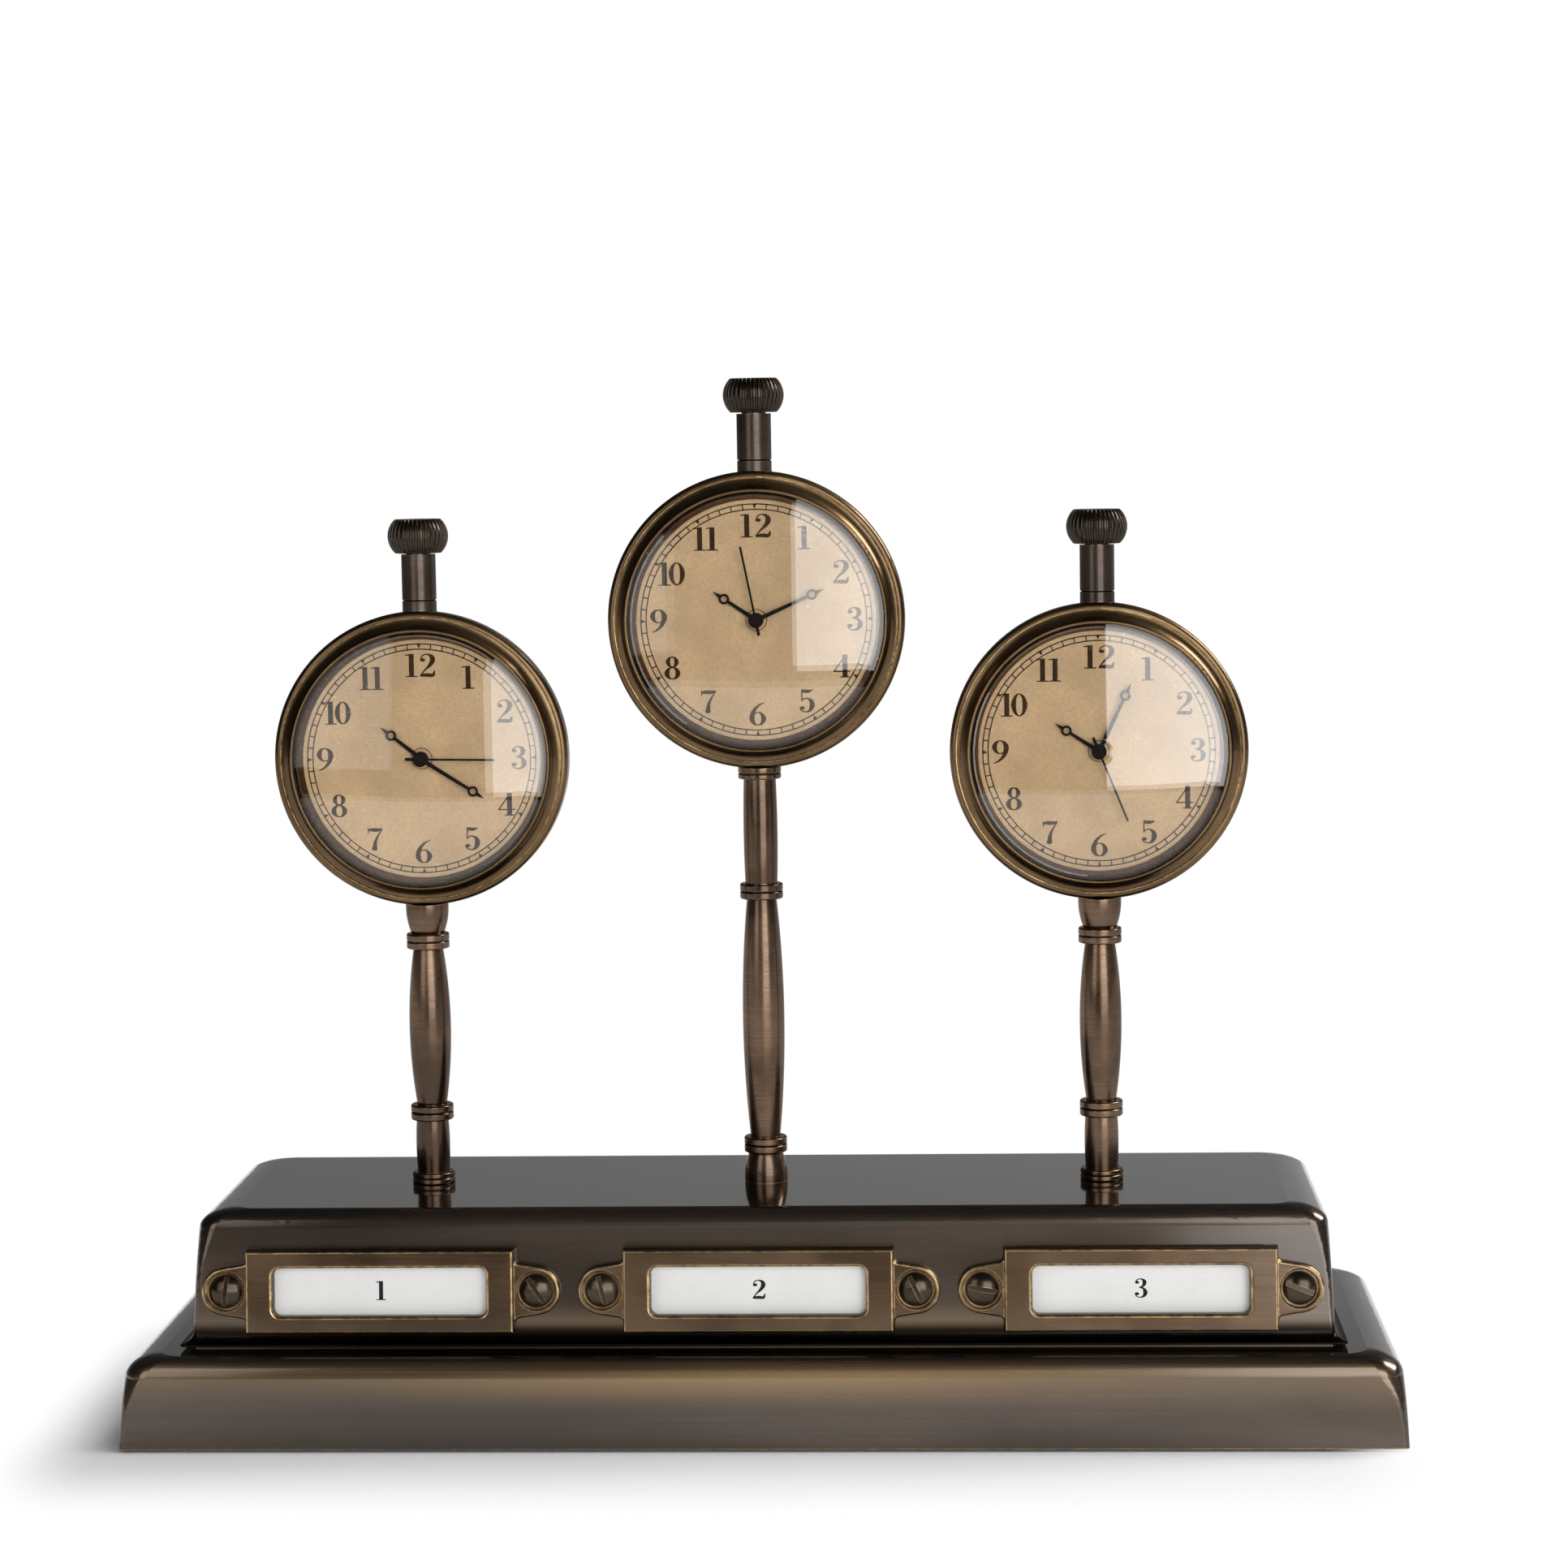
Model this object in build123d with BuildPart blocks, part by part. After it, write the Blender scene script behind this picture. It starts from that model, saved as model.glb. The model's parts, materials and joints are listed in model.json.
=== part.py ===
from build123d import *
from math import atan2, cos, pi, radians, sin, sqrt
import os

# World time clock: three pocket watches on turned stems over a stepped base with label holders.
# Millimetres, +Z up, front towards -Y, origin at the middle of the felt foot.

# Lower tier of the base, measured over the bottom rim
lower_width = 310.0
lower_depth = 100.0
lower_height = 22.0
lower_lean = 1.2
lower_shoulder_drop = 5.0
lower_shoulder_side = 8.0
lower_shoulder_front = 3.5
lower_edge_round = 1.5
lower_corner_round = 6.0
cavity_corner = 6.0

# Upper tier, measured over the thin lip above its foot
lip_width = 282.6
lip_depth = 80.8
lip_thickness = 0.4
upper_height = 33.4
upper_foot_height = 1.0
upper_foot_inset = 2.6
cove_height = 2.4
cove_reach = 2.8
upper_front_lean = 2.9
upper_side_lean = 1.3
upper_shoulder_drop = 4.5
upper_shoulder_side = 9.0
upper_shoulder_front = 3.2
upper_edge_round = 1.2
upper_corner_round = 4.5
base_wall = 3.0

# Shares of a wall's height at which its outline is drawn, how steeply its corners grow rounder,
# and the steps drawn over a shoulder and up the cove
wall_shares = [0, 0.35, 0.7, 1]
corner_growth = 3
shoulder_steps = 6
cove_steps = 4

# Closing plate and felt under the base
felt_proud = 0.5
felt_thickness = 1.5
plate_thickness = 1.5
plate_clearance = 0.3
post_radius = 4.0
post_inset = 9.0
plate_screw_head = 2.8
plate_screw_shank = 1.5
plate_screw_length = 9.0

# Label holders on the front wall
label_spacing = 92.0
frame_width = 65.8
frame_height = 20.4
frame_thickness = 4.2
frame_draft = 4.0
frame_edge_round = 0.6
frame_lift = 0.1
window_width = 52.0
window_height = 11.6
window_corner = 1.8
window_round = 0.9
ear_reach = 5.1
ear_radius = 5.9
ear_root = 13.6
ear_thickness = 2.4
ear_edge_round = 0.8
ear_blend = 1.2
ear_bore_radius = 4.5
ear_bore_depth = 1.5
ear_bore_rim = 0.4
card_thickness = 0.5
card_clearance = 0.3
card_margin = 3.2
card_drop = 0.5
label_screw_head = 4.0
label_screw_dome = 1.9
label_screw_shank = 1.5
label_screw_length = 8.0
label_screw_slot = 1.2
label_screw_slot_depth = 1.0
label_screw_turns = [84, 124, 105, 116, -10, -21]

# Stems, threaded on rods like beads
stem_spacing = 84.0
side_stem_height = 70.7
centre_stem_height = 104.1
stem_bore = 2.1
ring_radius = 5.35
ring_thickness = 1.9
ring_edge = 0.4
tube_radius = 4.0
tube_swell = 0.25
side_tube_length = 18.0
centre_tube_length = 30.9
foot_ring_thickness = 1.4
cone_length = 9.3
cone_neck_radius = 4.1
cone_lip_thickness = 0.9
spindle_end_radius = 3.7
spindle_radius = 5.2
spindle_swell = 0.53
rod_radius = 2.0
nut_across_flats = 7.0
nut_thickness = 3.2
rod_end = 1.6
rod_thread = 2.6
running_fit = 0.05

# Watches: radius out from the dial centre, depth from the stem axis towards the viewer
watch_radius = 36.7
band_half_width = 3.6
band_straight = 3.2
band_round = 1.6
case_wall = 3.0
ledge_width = 2.3
ledge_depth = 1.2
main_plate_thickness = 0.8
dial_thickness = 0.5
seat_clearance = 0.2
bezel_width = 5.1
dial_overlap = 2.0
glass_thickness = 1.2
glass_seat_width = 0.8
glass_seat_depth = 5.6
glass_rise = 2.6
ridge_width = 0.8
ridge_height = 0.6
bead_width = 1.7
cove_floor_depth = 4.5
cove_rise = 2.3
cove_hollow = 0.45
bead_step = 0.3
bead_bulge = 0.45
back_rise = 3.0
back_wall = 1.2
back_rim_depth = 1.6
back_skirt = 1.3
back_skirt_length = 1.2

# Neck, crown and winding stem
neck_radius = 4.25
neck_length = 14.0
neck_groove_height = 2.4
neck_groove = 0.4
spigot_radius = 2.6
spigot_length = 2.6
crown_gap = 0.3
boss_radius = 3.0
boss_height = 2.0
crown_radius = 7.5
crown_height = 8.4
crown_end_radius = 5.7
crown_flutes = 36
flute_radius = 0.42
flute_sweep = 60.0
winding_stem_radius = 0.8
winding_stem_reach = 12.0
groove_reach = 16.5
groove_depth = 0.35
lever_thickness = 0.8
lever_play = 0.1
lever_width = 5.2
lever_length = 3.4
lever_reach = 0.6
lever_clearance = 0.3
crown_pull = 1.5

# Movement and hands
movement_radius = 20.0
movement_thickness = 5.8
bush_radius = 2.5
bush_proud = 0.4
arbor_radius = 0.4
pipe_wall = 0.35
hand_gap = 0.6
hand_thickness = 0.3
hour_pipe_length = 4.0
minute_pipe_length = 5.5
second_arbor_length = 7.0
arbor_end_play = 0.3
hub_radius = 1.85
hub_cap_height = 0.7
hour_hand_length = 12.8
hour_ring_at = 9.45
minute_hand_length = 18.5
minute_ring_at = 15.2
second_hand_length = 18.5
second_hand_tail = 3.8
second_hand_width = 0.5
second_tail_width = 0.75
hand_width = 1.1
hand_ring_radius = 1.3
hand_ring_hole = 0.75
cell_radius = 5.8
cell_thickness = 2.0
cell_offset = 10.0
cell_clearance = 0.1

# Sides of the clock with the hour, minute and second hand angles, clockwise from twelve
sides = ["left", "centre", "right"]
hand_angles = {"left": (308.5, 122.5, 91), "centre": (304, 66, 349), "right": (303, 25.5, 158)}

# Levels, from the table upwards
plate_top = felt_thickness + plate_thickness
lower_top = felt_proud + lower_height
lip_level = lower_top + upper_foot_height
wall_foot = lip_level + lip_thickness + cove_height
upper_top = lower_top + upper_height
wall_height = upper_top - wall_foot
lower_roof = lower_top - base_wall
upper_roof = upper_top - base_wall

# Cavity of the lower tier, and the upper tier's wall at its foot and at its top
cavity_width = lower_width - 2 * (lower_lean + base_wall)
cavity_depth = lower_depth - 2 * (lower_lean + base_wall)
wall_width = lip_width - 2 * cove_reach
wall_depth = lip_depth - 2 * cove_reach
top_width = wall_width - 2 * upper_side_lean
top_depth = wall_depth - 2 * upper_front_lean

# Half sizes of the watch parts that others are fitted to
case_bore = watch_radius - case_wall
ledge_radius = case_bore - ledge_width
back_radius = watch_radius - band_round
band_turn = band_half_width - band_straight
glass_radius = watch_radius - bezel_width
dial_opening_radius = glass_radius - dial_overlap
cove_outer_radius = watch_radius - bead_width
plate_front = ledge_depth + main_plate_thickness
dial_front = plate_front + dial_thickness
saddle_rise = watch_radius - sqrt(watch_radius**2 - ring_radius**2)
stem_bore_radius = winding_stem_radius + running_fit
groove_radius = winding_stem_radius - groove_depth
groove_height = lever_thickness + 2 * lever_play
neck_top = watch_radius + neck_length
crown_base = neck_top + crown_gap
minute_bore = arbor_radius + running_fit
minute_pipe = minute_bore + pipe_wall
hour_bore = minute_pipe + running_fit
hour_pipe = hour_bore + pipe_wall
bush_bore = hour_pipe + running_fit
bush_front = dial_front + bush_proud
hour_level = bush_front + hand_gap / 2
minute_level = hour_level + hand_thickness + hand_gap
second_level = minute_level + hand_thickness + hand_gap

# Front wall of the upper tier and the label holders on it
wall_lean = atan2(upper_front_lean, wall_height)
wall_normal = (0, -cos(wall_lean), sin(wall_lean))
frame_rise = frame_lift + frame_height / 2
frame_level = wall_foot + frame_rise * cos(wall_lean)
frame_front = -wall_depth / 2 + frame_rise * sin(wall_lean)
ear_spacing = frame_width + 2 * ear_reach
card_slot = card_thickness + 2 * card_clearance
card_width = window_width + 2 * card_margin
card_bottom = -window_height / 2 - card_margin
card_height = frame_height / 2 - card_drop - card_bottom


def stem_x(side):
    return stem_spacing * (sides.index(side) - 1)


def watch_centre(side):
    stem_height = centre_stem_height if side == "centre" else side_stem_height
    return Vector(stem_x(side), 0, upper_top + stem_height + watch_radius)


def label_plane(side):
    x = label_spacing * (sides.index(side) - 1)
    return Plane((x, frame_front, frame_level), x_dir=(1, 0, 0), z_dir=wall_normal)


def watch_section(centre):
    """Half section of a watch: radius to the right, depth towards the viewer up."""
    return Plane(centre, x_dir=(1, 0, 0), z_dir=(0, 0, -1))


def watch_axis(centre):
    return Axis(centre, (0, -1, 0))


def dial_plane(centre, depth, clockwise=0):
    """Plane parallel to the dial, seen from the front, turned clockwise by some degrees."""
    turn = radians(clockwise)
    return Plane(centre - Vector(0, depth, 0), x_dir=(cos(turn), 0, -sin(turn)), z_dir=(0, -1, 0))


def stem_section(x, level, downwards=False):
    """Half section of a stem: radius to the right, height from level up or down."""
    return Plane((x, 0, level), x_dir=(1, 0, 0), z_dir=(0, 1 if downwards else -1, 0))


def level_plane(centre, rise):
    return Plane(centre + Vector(0, 0, rise))


def bowed_arc(start, end, bow):
    """Arc whose middle stands off its chord by bow, to the left on the way from start to end."""
    chord = Vector(*end) - Vector(*start)
    left = Vector(-chord.Y, chord.X).normalized()
    ThreePointArc(start, Vector(*start) + chord / 2 + left * bow, end)


def save(builder, name):
    builder.part.label = name
    export_step(builder.part, f"parts/{name}.step")


os.makedirs("parts", exist_ok=True)


# Base


def grown_corner(share, foot_round, top_round):
    """Corner radius that grows ever faster from the foot of a wall to its top."""
    return foot_round + (top_round - foot_round) * share**corner_growth


def tier_outline(level, width, depth, corner):
    with BuildSketch(Plane.XY.offset(level)) as outline:
        RectangleRounded(width, depth, corner)
    return outline.sketch


def raise_tier(foot, top, width, depth, side_lean, front_lean, foot_round, top_round, shoulder):
    """Adds leaning walls whose corners grow rounder, then an oval shoulder drawn in to the flat top."""
    drop, side_reach, front_reach = shoulder
    wall_outlines = []
    for share in wall_shares:
        level = foot + share * (top - drop - foot)
        lean = (level - foot) / (top - foot)
        corner = grown_corner(share, foot_round, top_round)
        wall_outlines.append(
            tier_outline(level, width - 2 * lean * side_lean, depth - 2 * lean * front_lean, corner)
        )
    loft(wall_outlines)
    shoulder_outlines = []
    for step in range(shoulder_steps + 1):
        turn = pi / 2 * step / shoulder_steps
        level = top - drop * (1 - sin(turn))
        lean = (level - foot) / (top - foot)
        side_inset = lean * side_lean + (1 - cos(turn)) * side_reach
        front_inset = lean * front_lean + (1 - cos(turn)) * front_reach
        shoulder_outlines.append(
            tier_outline(level, width - 2 * side_inset, depth - 2 * front_inset, top_round)
        )
    loft(shoulder_outlines)


def closing_outline():
    """Outline of the plate and the felt, a clearance inside the lower tier's cavity."""
    RectangleRounded(
        cavity_width - 2 * plate_clearance,
        cavity_depth - 2 * plate_clearance,
        cavity_corner - plate_clearance,
    )


def plate_post_locations():
    return GridLocations(
        cavity_width - 2 * post_inset,
        cavity_depth - 2 * post_inset,
        2,
        2,
    )


with BuildPart() as lower_plinth:
    raise_tier(
        felt_proud,
        lower_top,
        lower_width,
        lower_depth,
        lower_lean,
        lower_lean,
        lower_edge_round,
        lower_corner_round,
        (lower_shoulder_drop, lower_shoulder_side, lower_shoulder_front),
    )
    with BuildSketch(Plane.XY.offset(felt_proud)):
        RectangleRounded(cavity_width, cavity_depth, cavity_corner)
    extrude(amount=lower_roof - felt_proud, mode=Mode.SUBTRACT)
    with BuildSketch(Plane.XY.offset(plate_top)):
        with plate_post_locations():
            Circle(post_radius)
    extrude(amount=lower_roof - plate_top)
    with BuildSketch(Plane.XY.offset(plate_top)):
        with plate_post_locations():
            Circle(plate_screw_shank + running_fit)
    extrude(amount=plate_screw_length, mode=Mode.SUBTRACT)
    with BuildSketch(Plane.XY.offset(lower_roof)):
        with GridLocations(stem_spacing, 0, len(sides), 1):
            Circle(stem_bore)
    extrude(amount=base_wall, mode=Mode.SUBTRACT)
save(lower_plinth, "lower_plinth")

with BuildPart() as upper_plinth:
    with BuildSketch(Plane.XY.offset(lower_top)):
        RectangleRounded(
            lip_width - 2 * upper_foot_inset, lip_depth - 2 * upper_foot_inset, upper_edge_round
        )
    extrude(amount=upper_foot_height)
    with BuildSketch(Plane.XY.offset(lip_level)):
        RectangleRounded(lip_width, lip_depth, upper_edge_round)
    extrude(amount=lip_thickness)
    for step in range(cove_steps + 1):
        turn = pi / 2 * step / cove_steps
        reach = cove_reach * (1 - sin(turn))
        with BuildSketch(Plane.XY.offset(lip_level + lip_thickness + cove_height * (1 - cos(turn)))):
            RectangleRounded(wall_width + 2 * reach, wall_depth + 2 * reach, upper_edge_round)
    loft()
    raise_tier(
        wall_foot,
        upper_top,
        wall_width,
        wall_depth,
        upper_side_lean,
        upper_front_lean,
        upper_edge_round,
        upper_corner_round,
        (upper_shoulder_drop, upper_shoulder_side, upper_shoulder_front),
    )
    with BuildSketch(Plane.XY.offset(lower_top)):
        RectangleRounded(top_width - 2 * base_wall, top_depth - 2 * base_wall, cavity_corner)
    extrude(amount=upper_roof - lower_top, mode=Mode.SUBTRACT)
    with BuildSketch(Plane.XY.offset(upper_roof)):
        with GridLocations(stem_spacing, 0, len(sides), 1):
            Circle(stem_bore)
    extrude(amount=base_wall, mode=Mode.SUBTRACT)
    for side in sides:
        with BuildSketch(label_plane(side)):
            with GridLocations(ear_spacing, 0, 2, 1):
                Circle(label_screw_shank + running_fit)
        extrude(amount=-label_screw_length, mode=Mode.SUBTRACT)
save(upper_plinth, "upper_plinth")

with BuildPart() as base_plate:
    with BuildSketch(Plane.XY.offset(felt_thickness)):
        closing_outline()
    extrude(amount=plate_thickness)
    with Locations(Plane((0, 0, felt_thickness), x_dir=(1, 0, 0), z_dir=(0, 0, -1))):
        with plate_post_locations():
            CounterSinkHole(
                plate_screw_shank + running_fit, plate_screw_head + running_fit, counter_sink_angle=90
            )
save(base_plate, "base_plate")

with BuildPart() as felt_pad:
    with BuildSketch():
        closing_outline()
    extrude(amount=felt_thickness)
save(felt_pad, "felt_pad")

with BuildPart() as plate_screw:
    with BuildSketch(stem_section(0, felt_thickness)):
        with BuildLine():
            Polyline(
                (0, 0),
                (plate_screw_head, 0),
                (plate_screw_shank, plate_screw_head - plate_screw_shank),
                (plate_screw_shank, plate_screw_length),
                (0, plate_screw_length),
                close=True,
            )
        make_face()
    revolve(axis=Axis.Z)

with BuildPart() as plate_screws:
    with plate_post_locations():
        add(plate_screw.part)
save(plate_screws, "plate_screws")


# Label holders

for side in sides:
    seat = label_plane(side)
    outward = Axis(seat.origin, seat.z_dir)

    with BuildPart() as label_frame:
        with BuildSketch(seat) as ear_plate:
            with GridLocations(ear_spacing, 0, 2, 1):
                Circle(ear_radius)
            Rectangle(frame_width, ear_root)
            make_hull()
            Rectangle(frame_width, frame_height)
            inner_corners = ear_plate.vertices().filter_by(
                lambda v: abs(abs(v.X) - frame_width / 2) < 0.01 and abs(v.Y) < frame_height / 2 - 0.01
            )
            fillet(inner_corners, ear_blend)
        extrude(amount=ear_thickness)
        fillet(label_frame.faces().sort_by(outward)[-1].edges(), ear_edge_round)
        with BuildSketch(seat):
            Rectangle(frame_width, frame_height)
        extrude(amount=frame_thickness, taper=frame_draft)
        fillet(label_frame.faces().sort_by(outward)[-1].edges(), frame_edge_round)
        with BuildSketch(seat):
            RectangleRounded(window_width, window_height, window_corner)
        extrude(amount=frame_thickness, mode=Mode.SUBTRACT)
        front = label_frame.faces().sort_by(outward)[-1]
        fillet(front.inner_wires()[0].edges(), window_round)
        with BuildSketch(seat):
            with Locations((0, card_bottom - card_clearance)):
                Rectangle(
                    card_width + 2 * card_clearance,
                    card_height + frame_height,
                    align=(Align.CENTER, Align.MIN),
                )
        extrude(amount=card_slot, mode=Mode.SUBTRACT)
        with BuildSketch(seat.offset(ear_thickness)):
            with GridLocations(ear_spacing, 0, 2, 1):
                Circle(ear_bore_radius)
        extrude(amount=-ear_bore_depth, mode=Mode.SUBTRACT)
        with BuildSketch(seat.offset(ear_thickness)):
            with GridLocations(ear_spacing, 0, 2, 1):
                Circle(ear_bore_radius + ear_bore_rim)
        extrude(amount=-ear_bore_rim, taper=45, mode=Mode.SUBTRACT)
        with BuildSketch(seat):
            with GridLocations(ear_spacing, 0, 2, 1):
                Circle(label_screw_shank + running_fit)
        extrude(amount=ear_thickness, mode=Mode.SUBTRACT)
    save(label_frame, f"{side}_label_frame")

    with BuildPart() as label_card:
        with BuildSketch(seat.offset(card_clearance)):
            with Locations((0, card_bottom)):
                Rectangle(card_width, card_height, align=(Align.CENTER, Align.MIN))
        extrude(amount=card_thickness)
    save(label_card, f"{side}_label_card")

with BuildPart() as label_screw:
    with BuildSketch(stem_section(0, 0)):
        with BuildLine():
            edge = label_screw_dome / 3
            Polyline(
                (0, label_screw_dome),
                (0, -label_screw_length),
                (label_screw_shank, -label_screw_length),
                (label_screw_shank, 0),
                (label_screw_head, 0),
                (label_screw_head, edge),
            )
            TangentArc((0, label_screw_dome), (label_screw_head, edge), tangent=(1, 0))
        make_face()
    revolve(axis=Axis.Z)
    with BuildSketch(Plane.XY.offset(label_screw_dome)):
        Rectangle(2 * label_screw_head, label_screw_slot)
    extrude(amount=-label_screw_slot_depth, mode=Mode.SUBTRACT)

with BuildPart() as label_screws:
    for side in sides:
        bore_floor = label_plane(side).offset(ear_thickness - ear_bore_depth)
        for place, turn in zip((-1, 1), label_screw_turns[2 * sides.index(side) :]):
            with Locations(bore_floor.location * Location((place * ear_spacing / 2, 0, 0), (0, 0, turn))):
                add(label_screw.part)
save(label_screws, "label_screws")


# Stems


def rings_outline(neck, start, thicknesses):
    """Outline of turned rings side by side, flat with rounded edges, between necks."""
    rim = ring_radius - ring_edge
    Line((neck, start), (rim, start))
    for thickness in thicknesses:
        end = start + thickness
        TangentArc((rim, start), (ring_radius, start + ring_edge), tangent=(1, 0))
        Line((ring_radius, start + ring_edge), (ring_radius, end - ring_edge))
        TangentArc((ring_radius, end - ring_edge), (rim, end), tangent=(0, 1))
        start = end
    Line((rim, start), (neck, start))


def band_outline():
    """Outer line of a watch case from front to back: straight, then drawn in."""
    Line((watch_radius, band_half_width), (watch_radius, band_turn))
    TangentArc((watch_radius, band_turn), (back_radius, -band_half_width), tangent=(0, -1))


def cut_saddle(centre):
    """Hollows the end of the piece in hand to the round of the watch case."""
    with BuildSketch(watch_section(centre)) as saddle:
        with BuildLine():
            Polyline((0, ring_radius), (watch_radius, ring_radius), (watch_radius, band_half_width))
            band_outline()
            Polyline(
                (back_radius, -band_half_width),
                (back_radius, -ring_radius),
                (0, -ring_radius),
                (0, ring_radius),
            )
        make_face()
    revolve(saddle.sketch, axis=watch_axis(centre), mode=Mode.SUBTRACT)


def stem_tube(section, length, end_extra, watch=None):
    """Plain barrel between a double ring at its outer end and a single ring at its inner end."""
    body_start = end_extra + 2 * foot_ring_thickness
    body_end = length + end_extra - ring_thickness
    with BuildPart() as tube:
        with BuildSketch(section):
            with BuildLine():
                Line((stem_bore, 0), (tube_radius, 0))
                rings_outline(tube_radius, 0, [foot_ring_thickness + end_extra, foot_ring_thickness])
                ThreePointArc(
                    (tube_radius, body_start),
                    (tube_radius + tube_swell, (body_start + body_end) / 2),
                    (tube_radius, body_end),
                )
                rings_outline(tube_radius, body_end, [ring_thickness])
                Polyline(
                    (tube_radius, length + end_extra),
                    (stem_bore, length + end_extra),
                    (stem_bore, 0),
                )
            make_face()
        revolve(axis=Axis(section.origin, (0, 0, 1)))
        if watch:
            cut_saddle(watch)
    return tube


def stem_cone(section, end_extra, watch=None):
    """Cupped end with a short plain lip at its outer end and a ring at its inner end."""
    flare_start = cone_lip_thickness + end_extra
    flare_end = cone_length + end_extra - ring_thickness
    with BuildPart() as cone:
        with BuildSketch(section):
            with BuildLine():
                Polyline((stem_bore, 0), (ring_radius, 0), (ring_radius, flare_start))
                TangentArc((ring_radius, flare_start), (cone_neck_radius, flare_end), tangent=(0, 1))
                rings_outline(cone_neck_radius, flare_end, [ring_thickness])
                Polyline(
                    (cone_neck_radius, cone_length + end_extra),
                    (stem_bore, cone_length + end_extra),
                    (stem_bore, 0),
                )
            make_face()
        revolve(axis=Axis(section.origin, (0, 0, 1)))
        if watch:
            cut_saddle(watch)
    return cone


def stem_baluster(section, length):
    """Swelling spindle between two rings."""
    spindle_end = length - ring_thickness
    with BuildPart() as baluster:
        with BuildSketch(section):
            with BuildLine():
                Line((stem_bore, 0), (spindle_end_radius, 0))
                rings_outline(spindle_end_radius, 0, [ring_thickness])
                ThreePointArc(
                    (spindle_end_radius, ring_thickness),
                    (spindle_radius, length * spindle_swell),
                    (spindle_end_radius, spindle_end),
                )
                rings_outline(spindle_end_radius, spindle_end, [ring_thickness])
                Polyline((spindle_end_radius, length), (stem_bore, length), (stem_bore, 0))
            make_face()
        revolve(axis=Axis(section.origin, (0, 0, 1)))
    return baluster


for side in sides:
    x = stem_x(side)
    centre = watch_centre(side)
    stem_top = centre.Z - watch_radius + saddle_rise
    if side == "centre":
        cone = stem_cone(stem_section(x, upper_top), 0)
        top_section = stem_section(x, stem_top, downwards=True)
        tube = stem_tube(top_section, centre_tube_length, saddle_rise, watch=centre)
        spindle_length = centre_stem_height - centre_tube_length - cone_length
        spindle_top = stem_top - saddle_rise - centre_tube_length
        baluster = stem_baluster(stem_section(x, spindle_top, downwards=True), spindle_length)
    else:
        tube = stem_tube(stem_section(x, upper_top), side_tube_length, 0)
        cone = stem_cone(stem_section(x, stem_top, downwards=True), saddle_rise, watch=centre)
        spindle_length = side_stem_height - side_tube_length - cone_length
        baluster = stem_baluster(stem_section(x, upper_top + side_tube_length), spindle_length)
    save(tube, f"{side}_stem_tube")
    save(baluster, f"{side}_stem_baluster")
    save(cone, f"{side}_stem_cone")

rod_foot = lower_roof - nut_thickness - rod_end
with BuildPart() as tie_rods:
    for side in sides:
        rod_top = watch_centre(side).Z - watch_radius + rod_thread
        with BuildSketch(Plane((stem_x(side), 0, rod_foot))):
            Circle(rod_radius)
        extrude(amount=rod_top - rod_foot)
save(tie_rods, "tie_rods")

with BuildPart() as rod_nuts:
    with BuildSketch(Plane.XY.offset(lower_roof - nut_thickness)):
        with GridLocations(stem_spacing, 0, len(sides), 1):
            RegularPolygon(nut_across_flats / 2, 6, major_radius=False)
            Circle(rod_radius + running_fit, mode=Mode.SUBTRACT)
    extrude(amount=nut_thickness)
save(rod_nuts, "rod_nuts")


# Watches


def watch_case(centre):
    with BuildPart() as case:
        with BuildSketch(watch_section(centre)):
            with BuildLine():
                band_outline()
                Polyline(
                    (back_radius, -band_half_width),
                    (ledge_radius, -band_half_width),
                    (ledge_radius, ledge_depth),
                    (case_bore, ledge_depth),
                    (case_bore, band_half_width),
                    (watch_radius, band_half_width),
                )
            make_face()
        revolve(axis=watch_axis(centre))
        with BuildSketch(level_plane(centre, -watch_radius)):
            Circle(rod_radius + running_fit)
        extrude(amount=rod_thread, mode=Mode.SUBTRACT)
        with BuildSketch(level_plane(centre, watch_radius - spigot_length)):
            Circle(spigot_radius + running_fit)
        extrude(amount=spigot_length, mode=Mode.SUBTRACT)
        with BuildSketch(level_plane(centre, 0)):
            Circle(stem_bore_radius)
        extrude(amount=watch_radius, mode=Mode.SUBTRACT)
    return case


def watch_bezel(centre):
    """Ring with a round outer bead, a hollow band and a narrow ridge round the glass."""
    glass_bore = glass_radius + running_fit
    ridge_foot = cove_floor_depth + cove_rise
    ridge_outer = glass_bore + ridge_width
    bead_foot = cove_floor_depth + bead_step
    skirt_radius = case_bore - seat_clearance
    with BuildPart() as bezel:
        with BuildSketch(watch_section(centre)):
            with BuildLine():
                Polyline(
                    (dial_opening_radius, dial_front),
                    (glass_bore - glass_seat_width, glass_seat_depth),
                    (glass_bore, glass_seat_depth),
                    (glass_bore, ridge_foot),
                )
                ThreePointArc(
                    (glass_bore, ridge_foot),
                    (glass_bore + ridge_width / 2, ridge_foot + ridge_height),
                    (ridge_outer, ridge_foot),
                )
                bowed_arc((ridge_outer, ridge_foot), (cove_outer_radius, cove_floor_depth), -cove_hollow)
                Line((cove_outer_radius, cove_floor_depth), (cove_outer_radius, bead_foot))
                bowed_arc((cove_outer_radius, bead_foot), (watch_radius, band_half_width), bead_bulge)
                Polyline(
                    (watch_radius, band_half_width),
                    (skirt_radius, band_half_width),
                    (skirt_radius, dial_front),
                    (dial_opening_radius, dial_front),
                )
            make_face()
        revolve(axis=watch_axis(centre))
    return bezel


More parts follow.
